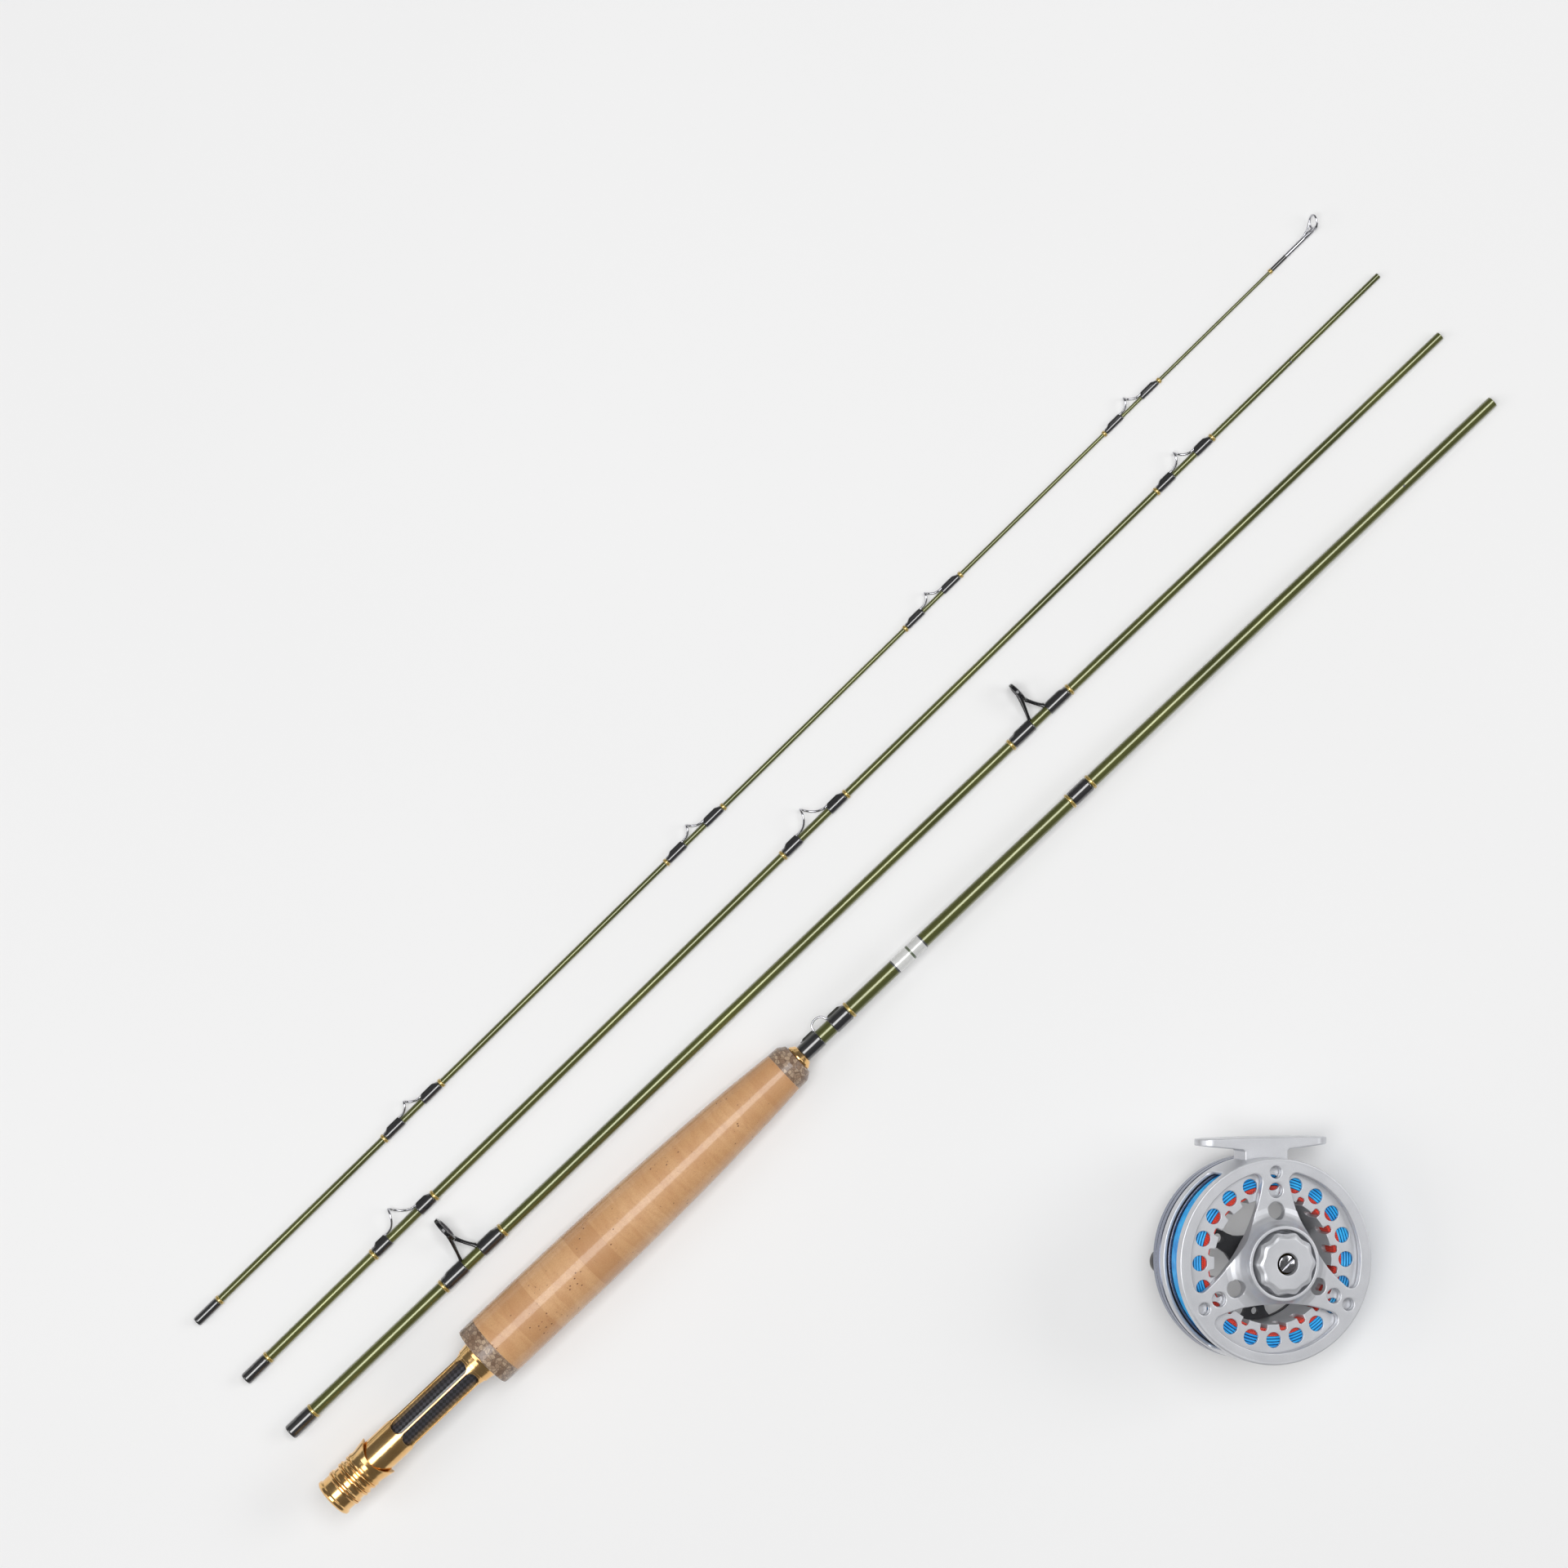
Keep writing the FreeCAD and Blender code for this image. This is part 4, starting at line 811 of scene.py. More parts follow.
def snake_guides(rod, node, wraps):
    """Wires that leave one wrap, go once round the line's way and run into the next wrap."""
    piece = Piece()
    humps = []
    gauge = 0.45
    points = local_points(node, rod.place)
    steps = 32
    for low, high in spans(node, rod.place):
        centre = (low + high) / 2
        left, right = between(wraps, rod, centre)
        height = sides_between(points, low, high).max()
        half = (right - left) / 2
        base = rod.radius(centre) + gauge + 0.05
        rise = (height - gauge - base) / 2
        route = []
        radii = []

        def foot(along, share, rest):
            """Adds a point of a foot: thin and pressed to the blank at its end, where share is 0."""
            route.append((along, rod.radius(along) + gauge + 0.05 - 0.3 * rest ** 2, 0))
            radii.append(gauge * (0.35 + 0.65 * min(1, share * 2 + 0.1)))

        for share in (0.0, 0.25, 0.6, 0.9):
            foot(low + (left - low) * share, share, 1 - share)
        for step in range(1 - steps, steps):
            share = step / steps
            turn = math.pi * (1 + share)
            along = centre + half * math.copysign(abs(share) ** 2.2, share)
            route.append((along, base + rise - rise * math.cos(turn), 0.8 * rise * math.sin(turn)))
            radii.append(gauge)
        for share in (0.1, 0.4, 0.75, 1.0):
            foot(right + (high - right) * share, 1 - share, share)
        wire(piece, route, radii)
        humps += [(low, left, 2 * gauge - 0.1, 0.62), (right, high, 2 * gauge - 0.1, 0.62)]
    piece.show(rod.name + "_snake_wires", rod.body, "chrome_wire", node, 60)
    return humps


def straight_bar(piece, start, end, radius, belly=0.0, flat=1.0):
    """A bar between two points, a little bowed by belly and thicker at its ends."""
    route = []
    radii = []
    bow = Vector((0, 1, 0)) * belly
    for share in shares(14):
        route.append(Vector(start).lerp(Vector(end), share) + bow * math.sin(math.pi * share))
        radii.append(radius * (1 + 0.35 * (2 * share - 1) ** 4))
    wire(piece, route, radii, 14, flat)


def changed(piece, start, change):
    """Moves every point of a piece from an index on."""
    piece.points[start:] = [change(*point) for point in piece.points[start:]]


def stripping_guides(rod, frames, rings, wraps):
    """Two guides with a ceramic ring in a black frame: a front leg, a rear pair and two feet."""
    holders = Piece()
    grommets = Piece()
    humps = []
    ring_points = local_points(rings, rod.place)
    frame_points = local_points(frames, rod.place)
    for low, high in spans(frames, rod.place):
        centre = (low + high) / 2
        left, right = between(wraps, rod, centre)
        lip = sides_between(ring_points, low, high)
        height = (lip.max() + lip.min()) / 2
        outer = sides_between(frame_points, low, high).max() - height
        half = 0.9
        # a hoop with rolled edges round a rounded ring, both about an axis through the ring's centre
        hoop = [(-half, outer - 1.0, 0.25), (half, outer - 1.0, 0.25),
                (half, outer, 0.55), (-half, outer, 0.55)]
        grommet = [(-1.05, outer - 2.0, 0.5), (1.05, outer - 2.0, 0.5), (1.1, outer - 1.2, 0.35),
                   (0.55, outer - 0.95, 0.1), (-0.55, outer - 0.95, 0.1), (-1.1, outer - 1.2, 0.35)]
        for piece, profile in ((holders, hoop), (grommets, grommet)):
            first = len(piece.points)
            lathe(piece, rounded(profile), segments=56)
            changed(piece, first, lambda x, y, z: (centre + x, height + y, z))
        surface = rod.radius(centre)
        reach = outer - 0.5
        straight_bar(holders, (right, surface + 0.55, 0), (centre + 0.3, height - reach, 0), 0.62, -0.5, 1.5)
        for side in (-1, 1):
            shoulder = (centre - 0.4, height - 0.35 * reach, side * 0.93 * reach)
            straight_bar(holders, (left + 0.3, surface + 0.5, side * 0.35), shoulder, 0.58, -0.35)
            straight_bar(holders, shoulder, (centre, height - 0.1 * reach, side * reach), 0.5)
        for start, end in ((left, low), (right, high)):
            route = []
            radii = []
            for share in shares(12):
                along = start + (end - start) * share
                route.append((along, rod.radius(along) + 0.32 - 0.2 * share, 0))
                radii.append(0.32 + 0.1 * (1 - share))
            first = len(holders.points)
            wire(holders, route, radii, 14)
            # a foot is widest where it meets its leg
            changed(holders, first,
                    lambda x, y, z: (x, y, z * (2.9 - 1.7 * (abs(x - start) / abs(end - start)))))
        humps += [(low, left, 0.55, 1.15), (right, high, 0.55, 1.15)]
    holders.show(rod.name + "_guide_frames", rod.body, "black_frame", frames)
    grommets.show(rod.name + "_guide_grommets", rod.body, "ceramic_ring", rings)
    return humps


def tip_top(rod, node):
    """A tube over the tip with a loop of wire held on two arms that run down its sides."""
    inner = rod.top + 0.02
    outer = inner + 0.33
    start = extent(node, rod.place)[0][0] - 3
    end = rod.end + 1.5
    piece = turned([(start, inner, 0), (start, outer, 0.15), (end - 1.2, outer, 0.4),
                    (end, outer - 0.35, 0.3), (end, 0.0, 0)], 4, 32, close=False)
    gauge = 0.42
    loop = 3.1
    centre = Vector((rod.end + 2.7, 3.0, 0))
    lean = math.radians(38)
    up = Vector((math.sin(lean), math.cos(lean), 0))
    axle = Vector((math.cos(lean), -math.sin(lean), 0))
    side = Vector((0, 0, 1))
    rows = []
    for turn in turns(72):
        outward = up * math.cos(turn) + side * math.sin(turn)
        narrow = 0.86 - 0.1 * math.cos(turn)
        point = centre + up * (loop * math.cos(turn)) + side * (loop * narrow * math.sin(turn))
        rows.append([tuple(point + outward * (gauge * math.cos(around)) + axle * (gauge * math.sin(around)))
                     for around in turns(12)])
    piece.grid(rows, close=True)
    for way in (-1, 1):
        a = Vector((rod.end - 5.0, outer * 0.8, way * outer * 0.5))
        b = Vector((rod.end - 1.5, outer * 0.8, way * (outer * 0.5 + 0.1)))
        c = centre + Vector((-1.6, -1.3, way * (loop * 0.8 - 0.3)))
        d = centre + Vector((-0.2, -0.1, way * loop * 0.86))
        route = []
        for share in shares(18):
            rest = 1 - share
            route.append(a * rest ** 3 + b * 3 * share * rest ** 2 +
                         c * 3 * share ** 2 * rest + d * share ** 3)
        wire(piece, route, [0.2 + 0.2 * min(1, step / 4) for step in range(len(route))])
    piece.show(rod.name + "_top_loop", rod.body, "chrome_wire", node, 60,
               place=rod.place @ Matrix.Rotation(LOOP_TURN, 4, "X"))
    for name, slot, first, last, build in (("wrap", "black_thread", start - 8, start + 0.3, 0.26),
                                           ("band", "gold_thread", start - 9.6, start - 8.2, 0.42)):
        sleeve(first, last, rod.radius(first) - 0.05, rod.radius(first) + build, 0.2, 32).show(
            rod.name + "_top_" + name, rod.body, slot, crease=45)


BUTT_ROD = Rod("butt", "butt_section", "butt_blank")
ROD_3 = Rod("third", "section_3", "section_3_blank")
ROD_2 = Rod("second", "section_2", "section_2_blank")
TIP_ROD = Rod("tip", "tip_section", "tip_blank", 0.0)

BUTT_ROD.tube(BUTT_ROD.low - 0.6, 2)
for rod, socket in ((ROD_3, "section_3_socket"), (ROD_2, "section_2_socket"), (TIP_ROD, "tip_socket")):
    rod.tube(MOUNTS[socket]["dims"]["r_mm"], 40)
for rod in (BUTT_ROD, ROD_3, ROD_2):
    rod.dot()

ROD_3.wraps("section_3_wraps", stripping_guides(ROD_3, "stripping_guide_frames", "stripping_guide_rings",
                                                "section_3_wraps"))
ROD_2.wraps("section_2_wraps", snake_guides(ROD_2, "section_2_snake_guides", "section_2_wraps"))
TIP_ROD.wraps("tip_wraps", snake_guides(TIP_ROD, "tip_snake_guides", "tip_wraps"))
for rod, node in ((ROD_3, "section_3"), (ROD_2, "section_2"), (TIP_ROD, "tip"), (BUTT_ROD, "butt")):
    rod.bands(node + "_trim_bands")
tip_top(TIP_ROD, "tip_top")


# ---------------------------------------------------------------- handle of the butt section

BORE = 7.86                        # inner radius of the rings and the hood that slide on the seat


def node_radius(node):
    """The largest radius of a node of the butt section."""
    points = local_points(node, BUTT)
    return np.hypot(points[:, 1], points[:, 2]).max()


def end_cap():
    """A turned cap with a dished end and a rolled rim at each side."""
    end = node_span("butt_cap")[1]
    rim = node_radius("butt_cap")
    waist = rim - 0.55
    lip = node_span("lock_ring")[0] - 0.1
    turned([(1.1, 0.0, 0), (1.1, 4.6, 1.2), (0.0, 6.4, 0.5), (0.0, rim - 0.9, 0.5), (0.8, rim, 0.5),
            (1.9, rim, 0.4), (2.5, waist, 0.4), (lip - 1.4, waist, 0.4), (lip - 0.9, rim, 0.35),
            (lip, rim, 0.3), (lip, 6.75, 0), (end, 6.7, 0)], 5, 96, close=False).show(
        "seat_end_cap", "butt_section", "gold_metal", "butt_cap")


def barrel():
    """The seat's tube with its six long windows."""
    bore = 6.8
    outer = 7.8
    radius = (bore + outer) / 2
    start, end = node_span("seat_frame")
    insert_low, insert_high = node_span("seat_insert")
    half = math.asin(3.5 / outer) * radius
    period = TURN * radius
    windows = [box_outline(period * k / 6, half, insert_low + 3, insert_high - 3, 3.0) for k in range(1, 7)]
    first = [(x - period, y) for x, y in windows[-1]]
    outline = [(-half - 1, start), (period + half + 1, start), (period + half + 1, end), (-half - 1, end)]
    mesh = rolled_plate(outline, windows + [first], radius, outer - bore, 0.22, "X", 120)
    Piece().take(mesh).show("seat_cage", "butt_section", "gold_metal", "seat_frame", 60)


def insert():
    """The woven sleeve that shows through the windows."""
    start, end = node_span("seat_insert")
    inner, outer = 5.7, 6.72
    steps = 12
    profile = [(start, inner), (start, outer)]
    profile += [(start + (end - start) * k / steps, outer) for k in range(1, steps)]
    piece = lathe(Piece(), profile + [(end, outer), (end, inner)])
    piece.show("seat_weave", "butt_section", "carbon_weave", "seat_insert", 32)


def threaded_ring(node):
    """A ring with two rolled rims and a waist between them."""
    start, end = node_span(node)
    rim = node_radius(node)
    low, waist = rim - 0.35, rim - 0.62
    turned([(start, BORE, 0.1), (start, low, 0.3), (start + 0.45, rim, 0.3), (start + 1.0, rim, 0.3),
            (start + 1.6, waist, 0.4), (end - 1.6, waist, 0.4), (end - 1.0, rim, 0.3), (end - 0.45, rim, 0.3),
            (end, low, 0.3), (end, BORE, 0.1)], 5, 96).show("seat_" + node, node, "gold_metal", node)


def hood():
    """The sliding hood: a flared cup whose lip dips on two sides and stands up in two ears."""
    start, end = node_span("seat_hood")
    rim = node_radius("lock_ring")
    lip = node_radius("seat_hood")
    flare = start + 3.6
    dip = 4.0
    outer = [(start, BORE, 0.1), (start, rim - 0.1, 0.4), (start + 1.1, rim, 0.4),
             (start + 2.0, rim - 0.4, 0.4), (flare, rim - 0.25, 0.8), (end - 0.4, lip - 0.15, 0.3),
             (end, lip, 0.15), (end, lip - 0.6, 0.15), (end - 0.4, lip - 0.75, 0.3), (flare, BORE, 0.3)]

    def eared(along, radius, angle):
        if along <= flare:
            return along, radius
        share = (along - flare) / (end - flare)
        ear = abs(math.cos(angle)) ** 2.2
        return flare + share * (end - flare - dip * (1 - ear)), radius * (1 - share * 0.06 * (1 - ear))

    piece = lathe(Piece(), finer(rounded(outer, 4), 0.8), segments=144, shape=eared)
    piece.show("seat_sliding_hood", "seat_hood", "gold_metal", "seat_hood")


def upper_hood():
    """The fixed hood under the grip, a short flare that the front of the reel's foot slips into."""
    start, end = node_span("fixed_hood")
    rim = node_radius("fixed_hood")
    turned([(start, 7.8, 0), (start, 8.35, 0.25), (start + 1.2, 8.4, 0.8), (start + 3.6, rim - 0.45, 0.9),
            (end - 0.5, rim, 0.35), (end, rim - 0.3, 0.2), (end, 7.8, 0)], 5, 96).show(
        "seat_fixed_hood", "butt_section", "gold_metal", "fixed_hood")


def cork_handle():
    """The grip: cork rings in one smooth taper with fine seams, a burl ring at each end, and the check."""
    thick = node_radius("cork_grip")
    thin = extent("grip_upper_ring", BUTT)[1][1]
    last = GRIP_START + CORK_STEP * CORK_COUNT
    seam = 0.28 / CORK_STEP
    profile = [(GRIP_START, 5.0)]
    for ring in range(CORK_COUNT):
        for share in (0.0, seam, 0.12, 0.3, 0.5, 0.7, 0.88, 1 - seam):
            radius = thin + (thick - thin) * (1 - ((ring + share) / CORK_COUNT) ** 3)
            profile.append((GRIP_START + CORK_STEP * (ring + share), radius - (0.07 if share == 0 else 0.0)))
    profile += [(last, thin - 0.05), (last, 4.0)]
    lathe(Piece(), profile, "X", 96, False).show("grip_corks", "butt_section", "cork", "cork_grip", 60)
    start, end = node_span("grip_lower_ring")
    turned([(start, 5.0, 0), (start, thick - 0.1, 0.9), (start + 1.5, thick, 0.9), (end - 0.2, thick, 0.2),
            (end, thick - 0.1, 0), (end, 5.0, 0)], 5, 96).show(
        "grip_lower_burl", "butt_section", "burl_cork", "grip_lower_ring", 60)
    start, end = node_span("grip_upper_ring")
    turned([(start, 4.0, 0), (start, thin - 0.05, 0), (start + 0.2, thin, 0.1),
            (start + 4.8, thin - 0.15, 1.2), (end, thin - 2.2, 0.8), (end, 4.0, 0)], 6, 96).show(
        "grip_upper_burl", "butt_section", "burl_cork", "grip_upper_ring", 60)
    start, end = node_span("winding_check")
    rim = node_radius("winding_check")
    turned([(start, 3.4, 0), (start, rim, 0.4), (start + 0.9, rim, 0.5), (end - 0.2, rim - 1.3, 0.5),
            (end, 4.2, 0.1), (end, 3.4, 0)]).show(
        "gold_winding_check", "butt_section", "gold_metal", "winding_check")


def keeper():
    """The hook keeper: a wire loop between two wraps."""
    low, high = extent("hook_keeper", BUTT)
    gauge = 0.45
    (_, left), (right, _) = spans("butt_wraps", BUTT)[:2]
    centre = (left + right) / 2
    crown = high[1] - gauge
    base = BUTT_ROD.radius(centre) + gauge + 0.05
    route = [(low[0], base - 0.15, 0), (left - 3, base, 0), (left - 0.4, base, 0)]
    steps = 36
    for turn in (math.pi * step / steps for step in range(1, steps)):
        neck = 0.416 * math.sin(2 * turn)
        route.append((centre - (right - left) * 0.47 * math.cos(turn) - neck,
                      base + (crown - base) * math.sin(turn) ** 1.15, 0.0))
    route += [(right + 0.4, base, 0), (right + 3, base, 0), (high[0], base - 0.15, 0)]
    wire(Piece(), route, gauge, 14).show("keeper_wire", "butt_section", "chrome_wire", "hook_keeper", 60)
    return [(low[0], left, 0.8, 0.62), (right, high[0], 0.8, 0.62)]


def label():
    """The plain sleeve over the grip end of the blank."""
    low, high = LABEL_SPAN
    outer = BUTT_ROD.radius((low + high) / 2) + 0.1
    sleeve(low, high, outer - 0.2, outer, 0.06, 48).show(
        "butt_plain_label", "butt_section", "plain_label", "butt_label")


end_cap()
barrel()
insert()
threaded_ring("lock_ring")
threaded_ring("jam_ring")
hood()
upper_hood()
cork_handle()
BUTT_ROD.wraps("butt_wraps", keeper())
label()


# ---------------------------------------------------------------- the reel's frame

RIM = 42.5                # outer radius of the frame and of the palming rim
RECESS = 40.8             # inner radius of the frame's wall
FACE = 3.2                # thickness of the face
DEPTH = 23.0              # the frame, front to back
GAP = (-19.0, -4.6)       # heights of the two side gaps
WINDOW = 37.5             # outer radius of the windows
WAIST = 17.0              # how near the windows come to the middle
HUB_TOP = 8.6             # height of the hub's lip over the face
ARM_HOLES = ((36.8, 2.5), (29.4, 3.0), (21.0, 3.6))      # distance from the middle, radius
ARMS = [math.radians(bearing) for bearing in (90, 210, 330)]
WINDOWS = [math.radians(bearing) for bearing in (30, 150, 270)]


def window_side():
    """The circle that hollows an arm beside a window: its centre's distance and its radius."""
    arm = 11.0
    half = math.radians(60) - math.asin(arm / 2 / WINDOW)
    tip = (WINDOW * math.cos(half), WINDOW * math.sin(half))
    middle = (tip[0] ** 2 + tip[1] ** 2 - WAIST ** 2) / (2 * (tip[0] - WAIST))
    return middle, middle - WAIST


def window_outline():
    """A window between two arms: an outer arc on the rim, an inner arc hollowing the arms, round corners."""
    corner = 3.2
    middle, side = window_side()
    # the corner's centre is inside both circles by its own radius
    near, far = WINDOW - corner, side - corner
    x = (near ** 2 - far ** 2 + middle ** 2) / (2 * middle)
    y = math.sqrt(near ** 2 - x ** 2)
    outer_angle = math.atan2(y, x)
    inner_angle = math.atan2(y, x - middle)
    points = arc(0, 0, WINDOW, -outer_angle, outer_angle, 60)
    points += arc(x, y, corner, outer_angle, inner_angle, 14)[1:]
    points += arc(middle, 0, side, inner_angle, TURN - inner_angle, 60)[1:]
    points += arc(x, -y, corner, TURN - inner_angle, TURN - outer_angle, 14)[1:-1]
    return points


def cut_back(angle):
    """How far out the hub may reach at an angle before a window or an arm's hole takes it away."""
    nearest = RIM
    circles = [(bearing, *window_side()) for bearing in WINDOWS]
    circles += [(bearing, *ARM_HOLES[2]) for bearing in ARMS]
    for bearing, distance, radius in circles:
        away = distance * math.sin(angle - bearing)
        if math.cos(angle - bearing) > 0 and abs(away) < radius:
            nearest = min(nearest, distance * math.cos(angle - bearing) - math.sqrt(radius ** 2 - away ** 2))
    return nearest + 0.02


def reel_casting():
    """The casting: face with windows and arm holes, wall with the two side gaps, and hub."""
    piece = Piece()
    holes = [moved(window_outline(), bearing) for bearing in WINDOWS]
    holes += [hole(bearing, *arm_hole, 40) for bearing in ARMS for arm_hole in ARM_HOLES]
    holes.append(circle(0, 0, 13.4, 96))
    slab(piece, circle(0, 0, RIM - 0.7, 180), holes, -FACE, -0.012, 0.5)
    radius = (RIM + RECESS) / 2
    period = TURN * radius
    half = math.radians(60) * radius
    gaps = [box_outline(middle, half, *GAP, 2.6) for middle in (period / 4, period * 3 / 4)]
    outline = [(-3, -DEPTH), (period + 3, -DEPTH), (period + 3, 0), (-3, 0)]
    mesh = rolled_plate(outline, gaps, radius, RIM - RECESS, 0.6, "Z", 150)
    mesh.transform(Matrix.Rotation(-math.pi / 2, 4, "Z"))
    piece.take(mesh)
    # the hub: a cone up to a thin lip round the knob, its foot cut away by windows and holes
    hub = rounded([(-FACE, 12.4, 0), (-0.9, 22.6, 0), (-0.02, 22.6, 0), (0.4, 20.6, 3.0), (1.1, 18.9, 3.0),
                   (2.8, 17.3, 4.0), (HUB_TOP - 2.6, 15.9, 3.0), (HUB_TOP, 15.35, 0.35),
                   (HUB_TOP, 13.95, 0.3), (1.0, 13.95, 0.2), (1.0, 12.4, 0), (-6.5, 12.4, 0.3),
                   (-6.5, 4.6, 0), (-8.0, 4.6, 0.3), (-8.0, 15.35, 0.8), (-FACE, 15.35, 0)])
    segments = 360
    limits = [cut_back(angle) for angle in turns(segments)]

    def clipped(along, radius, angle):
        return along, min(radius, limits[round(angle / TURN * segments) % segments])

    lathe(piece, finer(hub, 0.3, beyond=15.4), "Z", segments, shape=clipped)
    piece.show("reel_casting", "reel_frame", "reel_silver", "reel_frame", 38)


def reel_foot():
    """The foot: a block on the casting with two long thinning wings, rounded in plan at both ends."""
    low, high = extent("reel_foot", REEL)
    half, top = high[:2]
    middle = (low[2] + high[2]) / 2
    deep = (high[2] - low[2]) / 2
    seat = RIM - 2
    right = [(9.5, seat, 0), (9.5, top - 5.6, 0.6), (10.4, top - 4.9, 1.2), (half, top - 3.0, 1.2),
             (half, top - 0.4, 0.4), (12.0, top, 6.0)]
    left = [(-x, y, corner) for x, y, corner in reversed(right)]
    cuts = [(0, x) for x in np.linspace(-9.4, 9.4, 15)]
    for reach in (half - deep + deep * math.sin(math.pi / 2 * k / 14) for k in range(14)):
        cuts += [(0, -reach), (0, reach)]

    def shaped(x, y, z):
        out = max(0.0, (abs(x) - (half - deep)) / deep)
        narrow = math.sqrt(max(0.0, 1 - min(out, 1.0) ** 2))
        if y < RIM - 0.05 and abs(x) < 10:
            y = max(y, math.sqrt(RIM ** 2 - x ** 2) - 0.15)
        return (x, y, middle + z * max(narrow, 0.02))

    outline = rounded(right[4:] + left + right[:4])
    piece = slab(Piece(), outline, [], -deep, deep, 0.5, cuts, shaped)
    piece.show("reel_foot_bar", "reel_frame", "reel_silver", "reel_foot", 38)


def drag_knob():
    """The knob: ten soft scallops round its edge, fading towards its flat top."""
    (_, _, bottom), (widest, _, top) = extent("drag_knob", REEL)
    outer = widest - 0.45
    side = outer - 0.15
    corners = [(bottom, 9.0, 0), (bottom, outer, 0.3), (bottom + 1.3, outer, 0.3), (bottom + 1.7, side, 0.3),
               (top - 1.9, side, 0.6), (top - 0.5, outer - 1.3, 0.9), (top, outer - 2.6, 1.0),
               (top, 4.6, 0.25), (top - 2.6, 4.35, 0)]

    def scalloped(along, radius, angle):
        wave = 0.5 - 0.5 * math.cos(10 * angle)
        rise = min(max((along - bottom - 1.5) / 0.9, 0.0), 1.0)
        rise = rise * rise * (3 - 2 * rise)
        near = min(max((radius - outer + 4.2) / 3.2, 0.0), 1.0)
        return along, radius - wave ** 0.8 * rise * near

    piece = lathe(Piece(), finer(rounded(corners, 6, False), 0.7, False), "Z", 240, False, scalloped)
    piece.show("drag_knob_scalloped", "drag_knob", "reel_silver", "drag_knob")


def knob_screw():
    """The slotted screw in the middle of the knob: a shallow dome cut in two by the slot."""
    (_, _, bottom), (outer, _, top) = extent("drag_screw", REEL)
    slot = 0.6
    floor = top - 0.8
    turn = math.radians(42)
    shank = [(bottom, 0.01), (bottom, outer - 0.1), (floor, outer - 0.1), (floor, 0.01)]
    piece = lathe(Piece(), shank, "Z", 64, False)
    edge = math.asin(slot / outer)
    half = arc(0, 0, outer, edge, math.pi - edge, 40)
    cuts = [(axis, value) for axis in (0, 1) for value in np.linspace(-3, 3, 9)]

    def domed(x, y, z):
        share = min((x * x + y * y) / outer ** 2, 1.0)
        return (x, y, z - (0.45 * share if z > floor + 0.2 else 0.0))

    for side in (0, math.pi):
        slab(piece, moved(half, side + turn), [], floor - 0.3, top, 0.16, cuts, domed)
    piece.show("knob_slotted_screw", "reel_frame", "bare_steel", "drag_screw", 40, "chrome_wire")


# ---------------------------------------------------------------- the spool

FLANGE = 40.4                      # outer radius of both flanges
ARBOR = (26.0, 27.8)               # inner and outer radius of the arbor's wall
NOTCH = 1.55                       # half the width of the arbor's slots
BRIDGE = 185.0                     # bearing of the bridge under the handle, in degrees
BRIDGE_RADIUS = 31.0               # how far the handle stands from the spindle
LINE_ROOM = (-18.4, -5.0)          # heights of the two flanges' inner faces
WEB = (-28.0, -25.5)               # heights of the far and near side of the spokes
STEP = TURN / 20                   # between the spool's holes, and between its slots
SPOKES = [math.radians(bearing) for bearing in (152, 272, 32)]
LAY = random.Random(7)             # how the line and the backing happen to lie


def flange_holes():
    """The ring of twenty round holes that both flanges have."""
    return [hole(STEP * k, 32.4, 3.2) for k in range(20)]


def near_flange():
    """The spool's near flange: its holes, and an inner edge notched by the arbor's slots."""
    inner = []
    deep = 28.9
    side = NOTCH / ARBOR[0]
    floor = NOTCH / deep
    corner = 0.05
    for index in range(20):
        middle = STEP * (index + 0.5)
        inner += arc(0, 0, ARBOR[0], middle - STEP + side + corner * 0.7, middle - side - corner * 0.7, 6)
        for radius, angle in ((ARBOR[0] + 0.5, -side), (deep - 0.6, -floor * 1.02), (deep, -floor * 0.6),
                              (deep, floor * 0.6), (deep - 0.6, floor * 1.02), (ARBOR[0] + 0.5, side)):
            inner.append((radius * math.cos(middle + angle), radius * math.sin(middle + angle)))
    piece = slab(Piece(), circle(0, 0, FLANGE, 160), flange_holes() + [inner], LINE_ROOM[1], -3.6, 0.22)
    piece.show("spool_near_flange", "spool", "reel_silver", "spool", 38)


def arbor():
    """The arbor's wall, with a slot behind each notch of the flange."""
    radius = sum(ARBOR) / 2
    period = TURN * radius
    top, slot_end, bottom = -3.9, -11.8, WEB[0]
    outline = [(-4.0, bottom), (period + 4.0, bottom), (period + 4.0, top)]
    for index in reversed(range(20)):
        middle = period * (index + 0.5) / 20
        outline += [(middle + NOTCH, top), (middle + NOTCH, slot_end)]
        outline += arc(middle, slot_end, NOTCH, 0, -math.pi, 8)[1:-1]
        outline += [(middle - NOTCH, slot_end), (middle - NOTCH, top)]
    outline.append((-4.0, top))
    mesh = rolled_plate(outline, [], radius, ARBOR[1] - ARBOR[0], 0.2, "Z", 120)
    Piece().take(mesh).show("spool_arbor", "spool", "reel_silver", crease=38)


